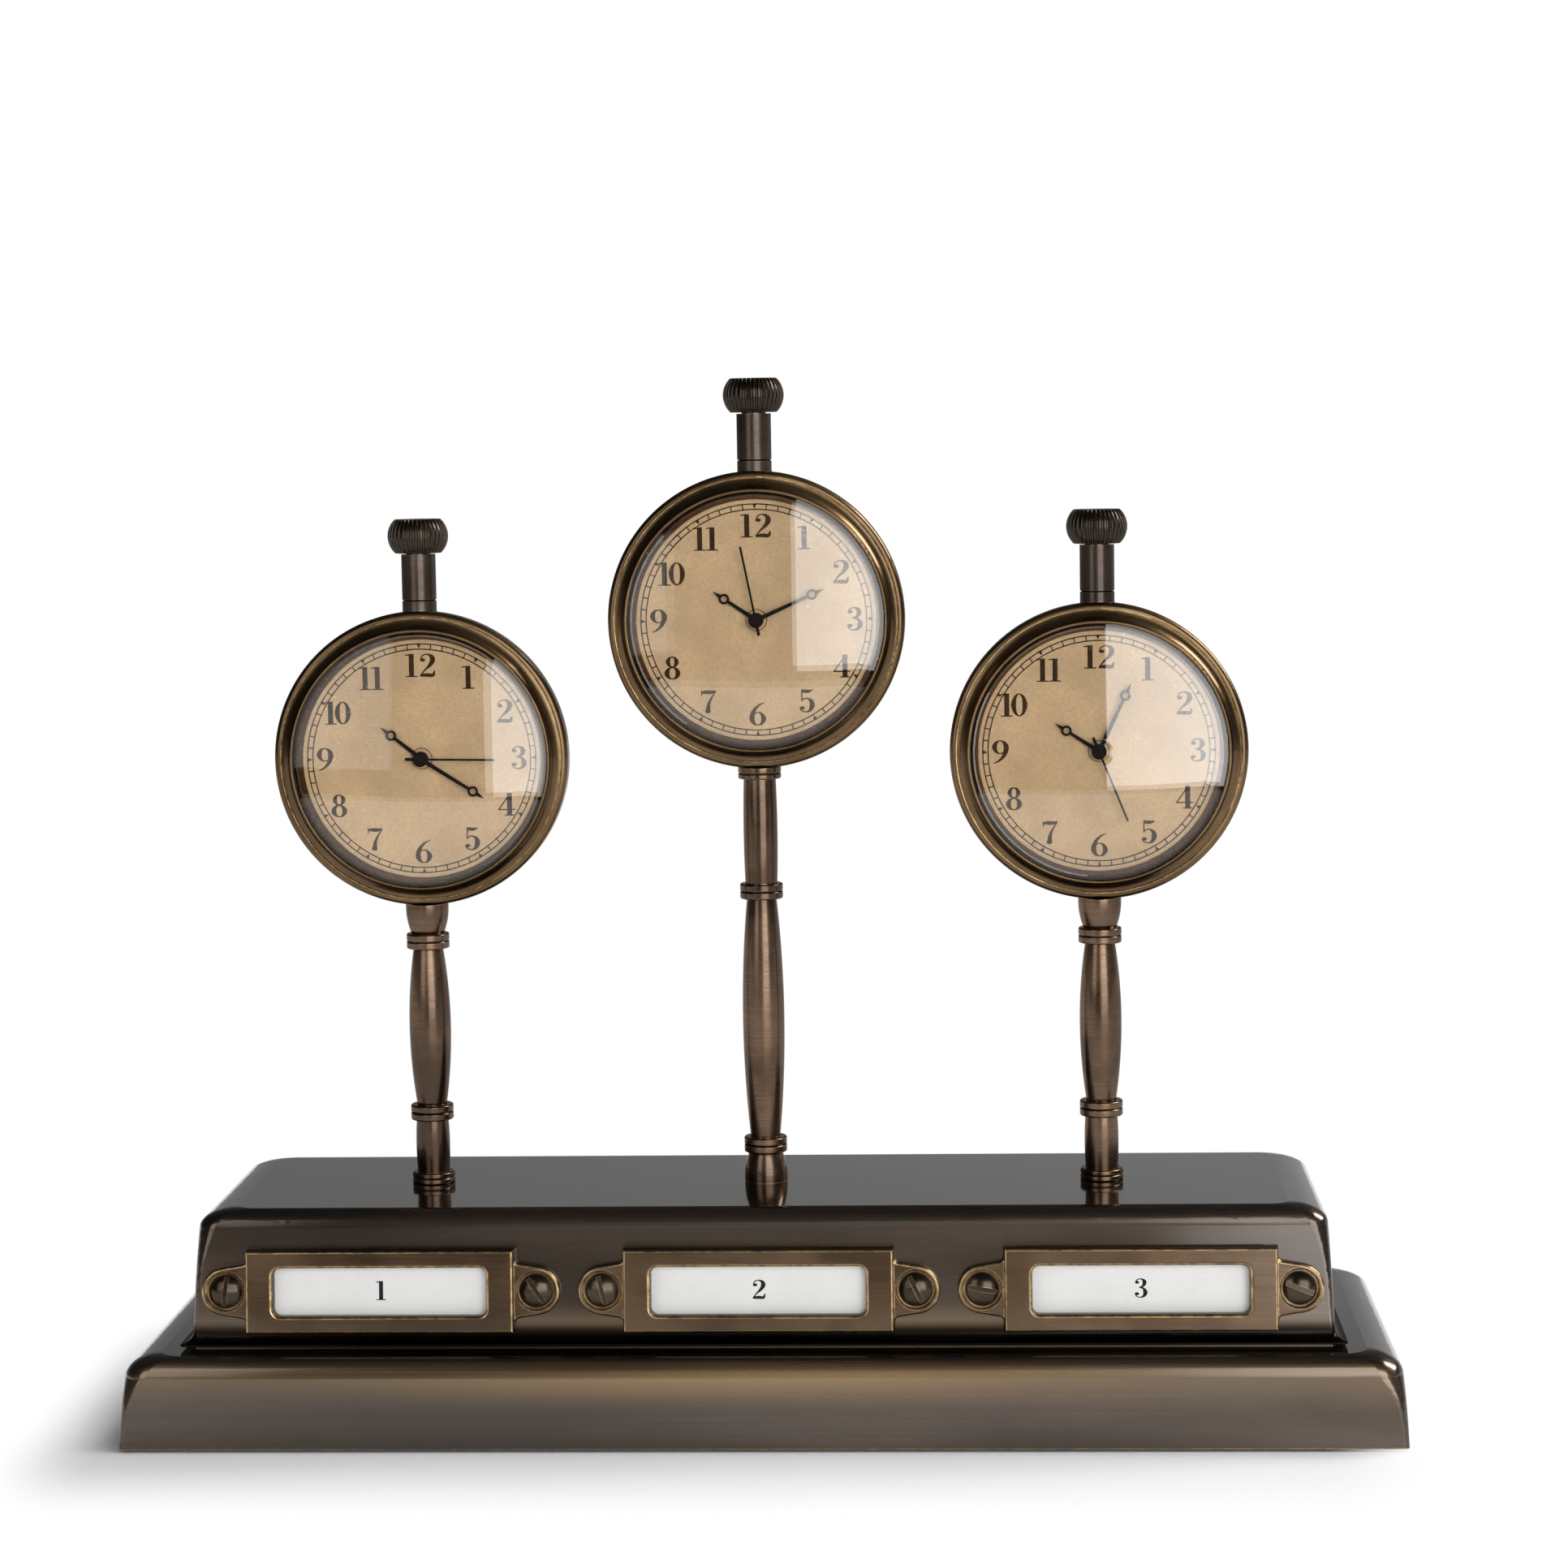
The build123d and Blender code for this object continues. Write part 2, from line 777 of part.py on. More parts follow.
def watch_crystal(centre):
    """Domed glass with a flat seat at its edge."""
    inner_top = glass_seat_depth + glass_rise
    with BuildPart() as crystal:
        with BuildSketch(watch_section(centre)):
            with BuildLine():
                TangentArc(
                    (0, inner_top), (glass_radius - glass_thickness, glass_seat_depth), tangent=(1, 0)
                )
                Polyline(
                    (glass_radius - glass_thickness, glass_seat_depth),
                    (glass_radius, glass_seat_depth),
                    (glass_radius, glass_seat_depth + glass_thickness),
                )
                TangentArc(
                    (0, inner_top + glass_thickness),
                    (glass_radius, glass_seat_depth + glass_thickness),
                    tangent=(1, 0),
                )
                Line((0, inner_top), (0, inner_top + glass_thickness))
            make_face()
        revolve(axis=watch_axis(centre))
    return crystal


def watch_dial(centre):
    with BuildPart() as dial:
        with BuildSketch(dial_plane(centre, plate_front)):
            Circle(case_bore - seat_clearance)
            Circle(bush_radius + seat_clearance, mode=Mode.SUBTRACT)
        extrude(amount=dial_thickness)
    return dial


def watch_movement(centre):
    """Round main plate with the drive housing behind it and the bush for the hands in front."""
    back = ledge_depth - movement_thickness
    bore_floor = second_level - second_arbor_length - arbor_end_play
    pocket_height = lever_thickness + crown_pull + 2 * lever_clearance
    with BuildPart() as movement:
        with BuildSketch(dial_plane(centre, ledge_depth)):
            Circle(case_bore - seat_clearance)
        extrude(amount=main_plate_thickness)
        with BuildSketch(dial_plane(centre, back)):
            Circle(movement_radius)
        extrude(amount=movement_thickness)
        with BuildSketch(dial_plane(centre, plate_front)):
            Circle(bush_radius)
        extrude(amount=bush_front - plate_front)
        with BuildSketch(dial_plane(centre, bore_floor)):
            Circle(bush_bore)
        extrude(amount=bush_front - bore_floor, mode=Mode.SUBTRACT)
        with BuildSketch(level_plane(centre, winding_stem_reach - lever_clearance)):
            Circle(stem_bore_radius)
        extrude(amount=movement_radius - winding_stem_reach + lever_clearance, mode=Mode.SUBTRACT)
        with BuildSketch(dial_plane(centre, back)):
            with Locations((0, groove_reach - lever_thickness / 2 - lever_clearance)):
                Rectangle(
                    lever_width + 2 * lever_clearance, pocket_height, align=(Align.CENTER, Align.MIN)
                )
        extrude(amount=movement_thickness - lever_clearance, mode=Mode.SUBTRACT)
        with BuildSketch(dial_plane(centre, back)):
            with Locations((-cell_offset, -cell_offset / 2)):
                Circle(cell_radius + cell_clearance)
        extrude(amount=cell_thickness, mode=Mode.SUBTRACT)
    return movement


def setting_lever(centre):
    """Forked plate that sits in the stem's groove and slides with it."""
    with BuildPart() as lever:
        with BuildSketch(level_plane(centre, groove_reach - lever_thickness / 2)):
            with Locations((0, -lever_reach)):
                Rectangle(lever_width, lever_length, align=(Align.CENTER, Align.MIN))
            slot_radius = groove_radius + running_fit
            Circle(slot_radius, mode=Mode.SUBTRACT)
            Rectangle(
                2 * slot_radius, lever_length, align=(Align.CENTER, Align.MAX), mode=Mode.SUBTRACT
            )
        extrude(amount=lever_thickness)
    return lever


def watch_back(centre):
    """Snap-on domed back with a bead like the bezel's."""
    rim = -band_half_width
    dome_edge = rim - back_rim_depth
    dome_radius = back_radius - bead_width
    skirt_radius = ledge_radius - seat_clearance
    with BuildPart() as back:
        with BuildSketch(watch_section(centre)):
            with BuildLine():
                TangentArc(
                    (0, dome_edge - back_rise + back_wall),
                    (skirt_radius - back_skirt, dome_edge + back_wall),
                    tangent=(1, 0),
                )
                Polyline(
                    (skirt_radius - back_skirt, dome_edge + back_wall),
                    (skirt_radius - back_skirt, rim + back_skirt_length),
                    (skirt_radius, rim + back_skirt_length),
                    (skirt_radius, rim),
                    (back_radius, rim),
                )
                bowed_arc((back_radius, rim), (dome_radius, dome_edge), bead_bulge)
                TangentArc((0, dome_edge - back_rise), (dome_radius, dome_edge), tangent=(1, 0))
                Line((0, dome_edge - back_rise), (0, dome_edge - back_rise + back_wall))
            make_face()
        revolve(axis=watch_axis(centre))
    return back


def pendant_neck(centre):
    """Plain neck with one fine groove, held by a spigot below, and a boss that enters the crown above."""
    groove_low = watch_radius + neck_groove_height
    spigot_foot = watch_radius - spigot_length
    with BuildPart() as neck:
        with BuildSketch(stem_section(centre.X, centre.Z)):
            with BuildLine():
                Polyline(
                    (0, spigot_foot),
                    (neck_radius, spigot_foot),
                    (neck_radius, groove_low),
                    (neck_radius - neck_groove, groove_low + neck_groove / 2),
                    (neck_radius, groove_low + neck_groove),
                    (neck_radius, neck_top),
                    (0, neck_top),
                    close=True,
                )
            make_face()
        revolve(axis=Axis(centre, (0, 0, 1)))
        cut_saddle(centre)
        with BuildSketch(level_plane(centre, spigot_foot)):
            Circle(spigot_radius)
        extrude(amount=spigot_length)
        with BuildSketch(level_plane(centre, neck_top)):
            Circle(boss_radius)
        extrude(amount=boss_height)
        with BuildSketch(level_plane(centre, spigot_foot)):
            Circle(stem_bore_radius)
        extrude(amount=neck_top + boss_height - spigot_foot, mode=Mode.SUBTRACT)
    return neck


crown_bulge = crown_radius - crown_end_radius
barrel_radius = (crown_height**2 / 4 + crown_bulge**2) / (2 * crown_bulge)
barrel_centre = crown_radius - barrel_radius

with BuildPart() as flute:
    with BuildLine(stem_section(0, 0)) as flute_path:
        CenterArc((barrel_centre, crown_height / 2), barrel_radius, -flute_sweep, 2 * flute_sweep)
    with BuildSketch(Plane(flute_path.line @ 0, z_dir=flute_path.line % 0)):
        Circle(flute_radius)
    sweep(path=flute_path.line)

with BuildPart() as reeded_cap:
    with BuildSketch(stem_section(0, 0)):
        with BuildLine():
            Polyline((crown_end_radius, crown_height), (0, crown_height), (0, 0), (crown_end_radius, 0))
            ThreePointArc(
                (crown_end_radius, 0), (crown_radius, crown_height / 2), (crown_end_radius, crown_height)
            )
        make_face()
    revolve(axis=Axis.Z)
    with PolarLocations(0, crown_flutes):
        add(flute.part, mode=Mode.SUBTRACT)
    with BuildSketch():
        Circle(boss_radius + crown_gap)
    extrude(amount=boss_height, mode=Mode.SUBTRACT)


def winding_crown(centre):
    """Reeded barrel on a grooved winding stem."""
    groove_foot = groove_reach - groove_height / 2
    with BuildPart() as crown:
        with Locations(centre + Vector(0, 0, crown_base)):
            add(reeded_cap.part)
        with BuildSketch(level_plane(centre, winding_stem_reach)):
            Circle(winding_stem_radius)
        extrude(amount=crown_base + boss_height - winding_stem_reach)
        with BuildSketch(level_plane(centre, groove_foot)):
            Circle(winding_stem_radius)
            Circle(groove_radius, mode=Mode.SUBTRACT)
        extrude(amount=groove_height, mode=Mode.SUBTRACT)
    return crown


def ring_hand(centre, angle, level, length, ring_at, pipe_radius, bore_radius, pipe_length):
    """Pierced hand: a tapering bar, a ring and a leaf point, on a pipe."""
    plane = dial_plane(centre, level, angle)
    leaf_foot = ring_at + hand_ring_radius - hand_ring_hole / 2
    with BuildPart() as hand:
        with BuildSketch(plane):
            Circle(hub_radius)
            with BuildLine():
                Polyline(
                    (-hand_width / 2, 0),
                    (hand_width / 2, 0),
                    (hand_width / 3, ring_at),
                    (-hand_width / 3, ring_at),
                    close=True,
                )
            make_face()
            with BuildLine():
                Polyline(
                    (-hand_width / 2, leaf_foot),
                    (hand_width / 2, leaf_foot),
                    (0, length),
                    close=True,
                )
            make_face()
            with Locations((0, ring_at)):
                Circle(hand_ring_radius)
                Circle(hand_ring_hole, mode=Mode.SUBTRACT)
        extrude(amount=hand_thickness)
        with BuildSketch(plane):
            Circle(pipe_radius)
        extrude(amount=-pipe_length)
        with BuildSketch(plane.offset(hand_thickness)):
            Circle(bore_radius)
        extrude(amount=-hand_thickness - pipe_length, mode=Mode.SUBTRACT)
    return hand


def sweep_hand(centre, angle):
    """Thin second hand with a short tail and a cap over its arbor."""
    plane = dial_plane(centre, second_level, angle)
    with BuildPart() as hand:
        with BuildSketch(plane):
            Circle(hub_radius)
            Rectangle(second_hand_width, second_hand_length, align=(Align.CENTER, Align.MIN))
            Rectangle(second_tail_width, second_hand_tail, align=(Align.CENTER, Align.MAX))
        extrude(amount=hand_thickness)
        with BuildSketch(plane.offset(hand_thickness)):
            Circle(hub_radius)
        extrude(amount=hub_cap_height)
        fillet(hand.faces().sort_by(Axis(plane.origin, plane.z_dir))[-1].edges(), hub_cap_height / 2)
        with BuildSketch(plane):
            Circle(arbor_radius)
        extrude(amount=-second_arbor_length)
    return hand


for side in sides:
    centre = watch_centre(side)
    hour_angle, minute_angle, second_angle = hand_angles[side]
    save(watch_case(centre), f"{side}_case")
    save(watch_bezel(centre), f"{side}_bezel")
    save(watch_crystal(centre), f"{side}_crystal")
    save(watch_dial(centre), f"{side}_dial")
    save(watch_movement(centre), f"{side}_movement")
    save(setting_lever(centre), f"{side}_setting_lever")
    save(watch_back(centre), f"{side}_back_cover")
    save(pendant_neck(centre), f"{side}_pendant")
    save(winding_crown(centre), f"{side}_crown")
    hour_hand = ring_hand(
        centre,
        hour_angle,
        hour_level,
        hour_hand_length,
        hour_ring_at,
        hour_pipe,
        hour_bore,
        hour_pipe_length,
    )
    save(hour_hand, f"{side}_hour_hand")
    minute_hand = ring_hand(
        centre,
        minute_angle,
        minute_level,
        minute_hand_length,
        minute_ring_at,
        minute_pipe,
        minute_bore,
        minute_pipe_length,
    )
    save(minute_hand, f"{side}_minute_hand")
    save(sweep_hand(centre, second_angle), f"{side}_second_hand")

with BuildPart() as button_cells:
    for side in sides:
        with BuildSketch(dial_plane(watch_centre(side), ledge_depth - movement_thickness)):
            with Locations((-cell_offset, -cell_offset / 2)):
                Circle(cell_radius)
        extrude(amount=cell_thickness)
save(button_cells, "button_cells")
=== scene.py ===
import json
import math

import bmesh
import bpy
from mathutils import Matrix, Vector


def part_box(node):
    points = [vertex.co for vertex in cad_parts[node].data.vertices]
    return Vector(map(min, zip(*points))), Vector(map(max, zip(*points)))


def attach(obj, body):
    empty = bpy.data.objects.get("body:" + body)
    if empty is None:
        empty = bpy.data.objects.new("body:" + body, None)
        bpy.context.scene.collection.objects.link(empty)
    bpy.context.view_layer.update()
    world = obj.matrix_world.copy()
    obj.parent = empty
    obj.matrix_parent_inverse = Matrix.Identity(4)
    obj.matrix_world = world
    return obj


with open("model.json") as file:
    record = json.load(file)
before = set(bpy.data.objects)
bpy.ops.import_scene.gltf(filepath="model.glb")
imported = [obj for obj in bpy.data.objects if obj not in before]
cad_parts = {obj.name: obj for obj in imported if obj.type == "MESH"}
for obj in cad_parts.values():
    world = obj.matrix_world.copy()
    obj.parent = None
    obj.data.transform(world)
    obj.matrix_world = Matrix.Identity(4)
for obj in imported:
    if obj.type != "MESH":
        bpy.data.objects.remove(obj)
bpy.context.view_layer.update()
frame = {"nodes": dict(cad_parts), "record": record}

scene = bpy.context.scene
scene.view_settings.view_transform = "Standard"
sides = ["left", "centre", "right"]
mm = 0.001

# Camera, fitted to the photograph's edges
image_width = 1932
focal_pixels = 4605.8
camera_place = Vector((0.05704, -0.92319, 0.24592))
yaw = -0.0552
pitch = 0.0973
roll = 0.0162

# Dial and card print, in millimetres
track_outer = 28.5
track_inner = 27.2
track_line = 0.28
wedge_width = 1.0
wedge_gap = 0.1
numeral_reach = (24.2, 23.2)
numeral_height = 5.7
card_numeral_height = 4.6
print_thickness = 0.02

# Figures, as shares of their height
numeral_spread = 1.28
pen_weight = 1.1
figure_advance = 0.42
twelve_advance = 0.54

# Steps round a printed circle, and between two points of a pen stroke
ring_steps = 180
stroke_steps = 8

# Middle of each dome that takes its faces' own normals, and its core that takes nothing else, in metres
pole_radius = 3.9 * mm
pole_core = 0.92 * pole_radius

# Studio, in metres and radians
table_width = 5.0
table_front = -0.74
table_back = 3.0
table_gap = 0.2 * mm
room_radius = 40.0
backdrop_pale = math.radians(12)
backdrop_top = math.radians(20)
key_place = (1.28, -3.0, 0.735)
key_size = (2.28, 2.33)
key_card_place = (8.7, -20.0, 4.0)
key_card_size = (15.2, 15.6)
key_card_fade = 0.6
fill_place = (-0.546, -0.8, 0.367)
fill_size = (0.533, 0.60)
fill_card_fade = 0.05
rim_place = (1.50, 0.35, 1.25)
rim_size = (0.8, 0.9)
overhead_place = (0.85, 0.15, 1.40)
overhead_size = (1.4, 1.4)
lamp_target = (0, 0, 0.13)

# Shadow kept on the table: where it starts to fade and ends, short of the right end and drawn out in depth
shadow_fades = 5 * mm
shadow_ends = 30 * mm
shadow_inset = 25 * mm
shadow_depth = 0.55

# Brightness of the lamps and of the world's light
key_light = 3.95
fill_light = 0.6
rim_light = 13.0
overhead_light = 3.9
world_light = 0.16

# Brightness of the mirrored cards, from the inner to the outer side
key_in_glass = (2.2, 4.4)
key_in_satin = (0.8, 3.8)
fill_in_glass = (0.46, 0.56)
fill_in_satin = (1.0, 1.8)

# Brightness of the mirrored room from left to right, and the share that glass sees of walls and table
backdrop_light = (0.22, 0.60)
window_light = (0.08, 0.52)
wall_light = (0.05, 0.13)
walls_in_glass = 0.4
table_in_glass = 0.55


# Placing things

def joint_record(name):
    """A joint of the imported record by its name."""
    for joint in frame["record"]["behaviour"]["joints"]:
        if joint["name"] == name:
            return joint


def box_centre(node):
    """The middle of a CAD node's box."""
    low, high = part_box(node)
    return (Vector(low) + Vector(high)) / 2


def upright(place, normal, up):
    """A matrix with its Z along the normal and its Y as near to up as it can be."""
    right = up.cross(normal).normalized()
    turned = Matrix((right, normal.cross(right), normal)).transposed().to_4x4()
    turned.translation = place
    return turned


def new_object(name, mesh):
    """An object of the scene from a finished mesh."""
    data = bpy.data.meshes.new(name)
    mesh.to_mesh(data)
    mesh.free()
    made = bpy.data.objects.new(name, data)
    scene.collection.objects.link(made)
    return made


def add_camera():
    """The camera at the photograph's viewing angle."""
    ahead = math.cos(pitch)
    forward = Vector((math.sin(yaw) * ahead, math.cos(yaw) * ahead, -math.sin(pitch)))
    level = Vector((math.cos(yaw), -math.sin(yaw), 0))
    down = forward.cross(level)
    up = math.sin(roll) * level - math.cos(roll) * down
    camera = bpy.data.objects.new("camera", bpy.data.cameras.new("camera"))
    camera.data.lens = camera.data.sensor_width * focal_pixels / image_width
    camera.matrix_world = upright(camera_place, -forward, up)
    scene.collection.objects.link(camera)
    scene.camera = camera


# Shader nodes

def add(tree, kind, feeds=None, **settings):
    """One node with its settings, and its inputs either linked or set."""
    made = tree.nodes.new(kind)
    for name, value in settings.items():
        setattr(made, name, value)
    for name, value in (feeds or {}).items():
        if isinstance(value, bpy.types.NodeSocket):
            tree.links.new(value, made.inputs[name])
        else:
            made.inputs[name].default_value = value
    return made


def new_tree(owner):
    """A material's or world's emptied node tree."""
    owner.use_nodes = True
    owner.node_tree.nodes.clear()
    return owner.node_tree


def new_material(name):
    """A material, its emptied node tree, and the place on the object that its patterns follow."""
    made = bpy.data.materials.new(name)
    tree = new_tree(made)
    place = add(tree, "ShaderNodeTexCoord").outputs["Object"]
    return made, tree, place


def noise(tree, place, scale=1, stretch=(1, 1, 1), detail=3.0):
    """Noise from 0 to 1 about 0.5, its grains stretched where the stretch is small."""
    spot = add(tree, "ShaderNodeMapping", {"Vector": place, "Scale": stretch}).outputs["Vector"]
    feeds = {"Vector": spot, "Scale": scale, "Detail": detail}
    return add(tree, "ShaderNodeTexNoise", feeds).outputs["Fac"]


def fit(tree, value, low, high, to_low=0.0, to_high=1.0):
    """A value's range from low to high, fitted smoothly to another range."""
    feeds = {"Value": value, "From Min": low, "From Max": high, "To Min": to_low, "To Max": to_high}
    return add(tree, "ShaderNodeMapRange", feeds, interpolation_type="SMOOTHSTEP").outputs["Result"]


def blend(tree, share, first, second):
    """Two colours blended."""
    colours = [
        tone if isinstance(tone, bpy.types.NodeSocket) else (*tone, 1)
        for tone in (first, second)
    ]
    feeds = {0: share, 6: colours[0], 7: colours[1]}
    return add(tree, "ShaderNodeMix", feeds, data_type="RGBA").outputs[2]


def math_node(tree, way, first, second):
    """One sum on two values."""
    return add(tree, "ShaderNodeMath", {0: first, 1: second}, operation=way).outputs["Value"]


def vector_node(tree, way, first, second):
    """One sum on two vectors."""
    return add(tree, "ShaderNodeVectorMath", {0: first, 1: second}, operation=way).outputs["Vector"]


def length(tree, vector):
    """The length of a vector."""
    return add(tree, "ShaderNodeVectorMath", {0: vector}, operation="LENGTH").outputs["Value"]


def parts_of(tree, vector):
    """A vector's X, Y and Z."""
    return add(tree, "ShaderNodeSeparateXYZ", {"Vector": vector}).outputs


def span(tree, value, low, high, soft):
    """1 between two values, fading out softly past them."""
    rise = fit(tree, value, low - soft, low)
    fall = fit(tree, value, high + soft, high)
    return math_node(tree, "MULTIPLY", rise, fall)


def edges(tree, radius):
    """How near a sharp edge is: 0 on open faces, 1 on the edge."""
    open_face = 0.995
    sharp_edge = 0.93
    rounded = add(tree, "ShaderNodeBevel", {"Radius": radius}, samples=6).outputs["Normal"]
    straight = add(tree, "ShaderNodeNewGeometry").outputs["Normal"]
    agreement = add(tree, "ShaderNodeVectorMath", {0: rounded, 1: straight}, operation="DOT_PRODUCT")
    return fit(tree, agreement.outputs["Value"], open_face, sharp_edge)


def dome_normal(tree, place):
    """The shading normal, but each face's own normal about a watch's axis, where a dome has its pole."""
    geometry = add(tree, "ShaderNodeNewGeometry").outputs
    near_pole = 0.0
    for side in sides:
        axis = joint_record(f"{side}_minute_turn")["pos_m"]
        off = vector_node(tree, "MULTIPLY", vector_node(tree, "SUBTRACT", place, axis), (1, 0, 1))
        near = fit(tree, length(tree, off), pole_radius, pole_core)
        near_pole = math_node(tree, "MAXIMUM", near_pole, near)
    feeds = {0: near_pole, 4: geometry["Normal"], 5: geometry["True Normal"]}
    return add(tree, "ShaderNodeMix", feeds, data_type="VECTOR").outputs[1]


def finish_material(tree, feeds, height=None, depth=0.0):
    """The principled shader at the end of a material, with a bump where a height is given."""
    if height is not None:
        bump_feeds = {"Height": height, "Strength": 1.0, "Distance": depth}
        if "Normal" in feeds:
            bump_feeds["Normal"] = feeds["Normal"]
        bump = add(tree, "ShaderNodeBump", bump_feeds)
        feeds = {**feeds, "Normal": bump.outputs["Normal"]}
    surface = add(tree, "ShaderNodeBsdfPrincipled", feeds)
    add(tree, "ShaderNodeOutputMaterial", {"Surface": surface.outputs["BSDF"]})


# Materials

def metal(name, dark, light, worn_and_sheen, stretch, rubbed_and_sheen, wear=0.8, shine=(0.2, 0.36), coat=0.3, edge_tint=0.5,
          grain_depth=0.002 * mm, cloud_size=(38, 38, 38), shade=None, brushed=None, domed=False):
    """Patinated metal: cloudy tones, turned or brushed grain, and brighter metal on edges that wear and
    where a highlight is painted.
    """
    made, tree, place = new_material(name)
    clouds = noise(tree, place, stretch=cloud_size, detail=5)
    grain = noise(tree, place, stretch=stretch, detail=4)
    specks = noise(tree, place, scale=420, detail=2)
    scuffs = fit(tree, specks, 0.36, 0.6, to_low=0.4 * wear, to_high=wear)
    tone = blend(tree, fit(tree, clouds, 0.36, 0.66), dark, light)
    tone = blend(tree, fit(tree, grain, 0.3, 0.72, to_high=0.35), tone, dark)
    tone = blend(tree, math_node(tree, "MULTIPLY", rubbed_and_sheen(tree), scuffs), tone, worn_and_sheen)
    # Painted sheen and painted shade, where a shade function adds them
    if shade:
        tone, coat = shade(tree, place, tone, coat)
    feeds = {
        "Base Color": tone,
        "Metallic": 1.0,
        "Roughness": fit(tree, math_node(tree, "ADD", grain, clouds), 0.7, 1.3, *shine),
        "Specular Tint": (edge_tint, edge_tint, edge_tint, 1),
        "Coat Weight": coat,
        "Coat Roughness": 0.07,
    }
    if brushed:
        feeds["Anisotropic"] = 0.75
        tangent = add(tree, "ShaderNodeTangent", direction_type="RADIAL", axis=brushed)
        feeds["Tangent"] = tangent.outputs["Tangent"]
    if domed:
        feeds["Normal"] = dome_normal(tree, place)
    finish_material(tree, feeds, grain, grain_depth)
    return made


def sharp_edges(radius):
    """Rubbed along sharp edges, to a given width."""
    return lambda tree: edges(tree, radius)


def rounded_edges(tree):
    """Painted golden highlight on a label frame's rounded edges, where its face turns away from the front,
    and wear on its sharp edges.
    """
    normal = add(tree, "ShaderNodeNewGeometry").outputs["Normal"]
    # Painted highlight on faces turned partly away from the front, the frame's rounded edges
    painted_round_sheen = span(tree, parts_of(tree, normal)["Y"], low=-0.93, high=-0.55, soft=0.06)
    return math_node(tree, "MAXIMUM", painted_round_sheen, edges(tree, radius=0.45 * mm))


def base_edges(tree):
    """Rubbed along the sharp edges of the base, but not in the corner where its tiers meet."""
    lower_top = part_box("lower_plinth")[1][2]
    place = add(tree, "ShaderNodeTexCoord").outputs["Object"]
    level = parts_of(tree, place)["Z"]
    corner = span(tree, level, low=lower_top - 0.4 * mm, high=lower_top + 5 * mm, soft=0.3 * mm)
    return math_node(tree, "MULTIPLY", edges(tree, radius=0.6 * mm), fit(tree, corner, 1, 0))


def shade_base(tree, place, tone, coat):
    """Painted golden sheen on the lower tier's front shoulder, and painted shade, near black with little
    coat, in the cove.
    """
    # Colour of the painted golden sheen on the shoulder
    sheen_tone = (0.400, 0.252, 0.113)
    # Colour and coat of the painted shade in the cove
    cove_shade_tone = (0.010, 0.007, 0.005)
    cove_shade_coat = 0.1
    lower_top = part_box("lower_plinth")[1][2]
    normal = add(tree, "ShaderNodeNewGeometry").outputs["Normal"]
    spot = parts_of(tree, place)
    # Painted sheen on faces turned to the front along the shoulder, fading towards both ends of the base
    front = fit(tree, parts_of(tree, normal)["Y"], -0.6, -0.85)
    sheen_fade_right = fit(tree, spot["X"], 110 * mm, 0.0, to_low=0.2, to_high=0.85)
    sheen_fade_left = fit(tree, spot["X"], -140 * mm, 0.0, to_low=0.3)
    thin = math_node(tree, "MULTIPLY", sheen_fade_right, sheen_fade_left)
    shoulder = span(tree, spot["Z"], low=lower_top - 2 * mm, high=lower_top, soft=12 * mm)
    painted_sheen = math_node(tree, "MULTIPLY", math_node(tree, "MULTIPLY", shoulder, front), thin)
    tone = blend(tree, painted_sheen, tone, sheen_tone)
    # Painted shade in the cove between the tiers, which also takes most of the coat away
    above_tier = fit(tree, spot["Z"], lower_top + 0.1 * mm, lower_top + 0.3 * mm)
    below_wall = fit(tree, spot["Z"], lower_top + 7.2 * mm, lower_top + 3.8 * mm)
    cove = math_node(tree, "MULTIPLY", above_tier, below_wall)
    tone = blend(tree, cove, tone, cove_shade_tone)
    return tone, fit(tree, cove, 0, 1, to_low=coat, to_high=cove_shade_coat)


def dial_material():
    """Aged paper with faint clouds and a fine weave."""
    dark = (0.530, 0.357, 0.187)
    light = (0.674, 0.463, 0.245)
    thread = (0.444, 0.283, 0.146)
    made, tree, place = new_material("dial_paper")
    clouds = noise(tree, place, scale=70, detail=5)
    across = noise(tree, place, stretch=(700, 60, 3200), detail=2)
    down = noise(tree, place, stretch=(3200, 60, 700), detail=2)
    weave = math_node(tree, "ADD", across, down)
    tone = blend(tree, fit(tree, clouds, 0.3, 0.7), dark, light)
    tone = blend(tree, fit(tree, weave, 0.8, 1.25, to_high=0.45), tone, thread)
    feeds = {"Base Color": tone, "Roughness": fit(tree, weave, 0.7, 1.3, to_low=0.6, to_high=0.8)}
    finish_material(tree, feeds, weave, depth=0.004 * mm)
    return made


def paper_material(name, tone, shade, gloss=0.5):
    """Smooth card with faint fibres, or ink on it with less gloss."""
    made, tree, place = new_material(name)
    fibres = noise(tree, place, stretch=(900, 900, 2600), detail=4)
    clouds = noise(tree, place, scale=90)
    colour = blend(tree, fit(tree, math_node(tree, "ADD", fibres, clouds), 0.8, 1.3), tone, shade)
    feeds = {
        "Base Color": colour,
        "Roughness": fit(tree, fibres, 0.3, 0.7, to_low=0.6, to_high=0.75),
        "Specular IOR Level": gloss,
    }
    finish_material(tree, feeds, fibres, depth=0.002 * mm)
    return made


def lacquer_material(name, tone, shade, shine, gloss, bush=None):
    """Paint or plastic with faint specks and an uneven gloss, and a bush in its own tone past the dial."""
    made, tree, place = new_material(name)
    specks = noise(tree, place, scale=1600, detail=4)
    clouds = noise(tree, place, scale=120)
    colour = blend(tree, fit(tree, specks, 0.4, 0.7), tone, shade)
    if bush:
        dial_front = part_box("centre_dial")[0][1]
        past_dial = fit(tree, parts_of(tree, place)["Y"], dial_front, dial_front - 0.05 * mm)
        colour = blend(tree, past_dial, colour, bush)
    feeds = {
        "Base Color": colour,
        "Roughness": fit(tree, clouds, 0.3, 0.7, *shine),
        "Specular IOR Level": gloss,
    }
    finish_material(tree, feeds, specks, depth=0.003 * mm)
    return made


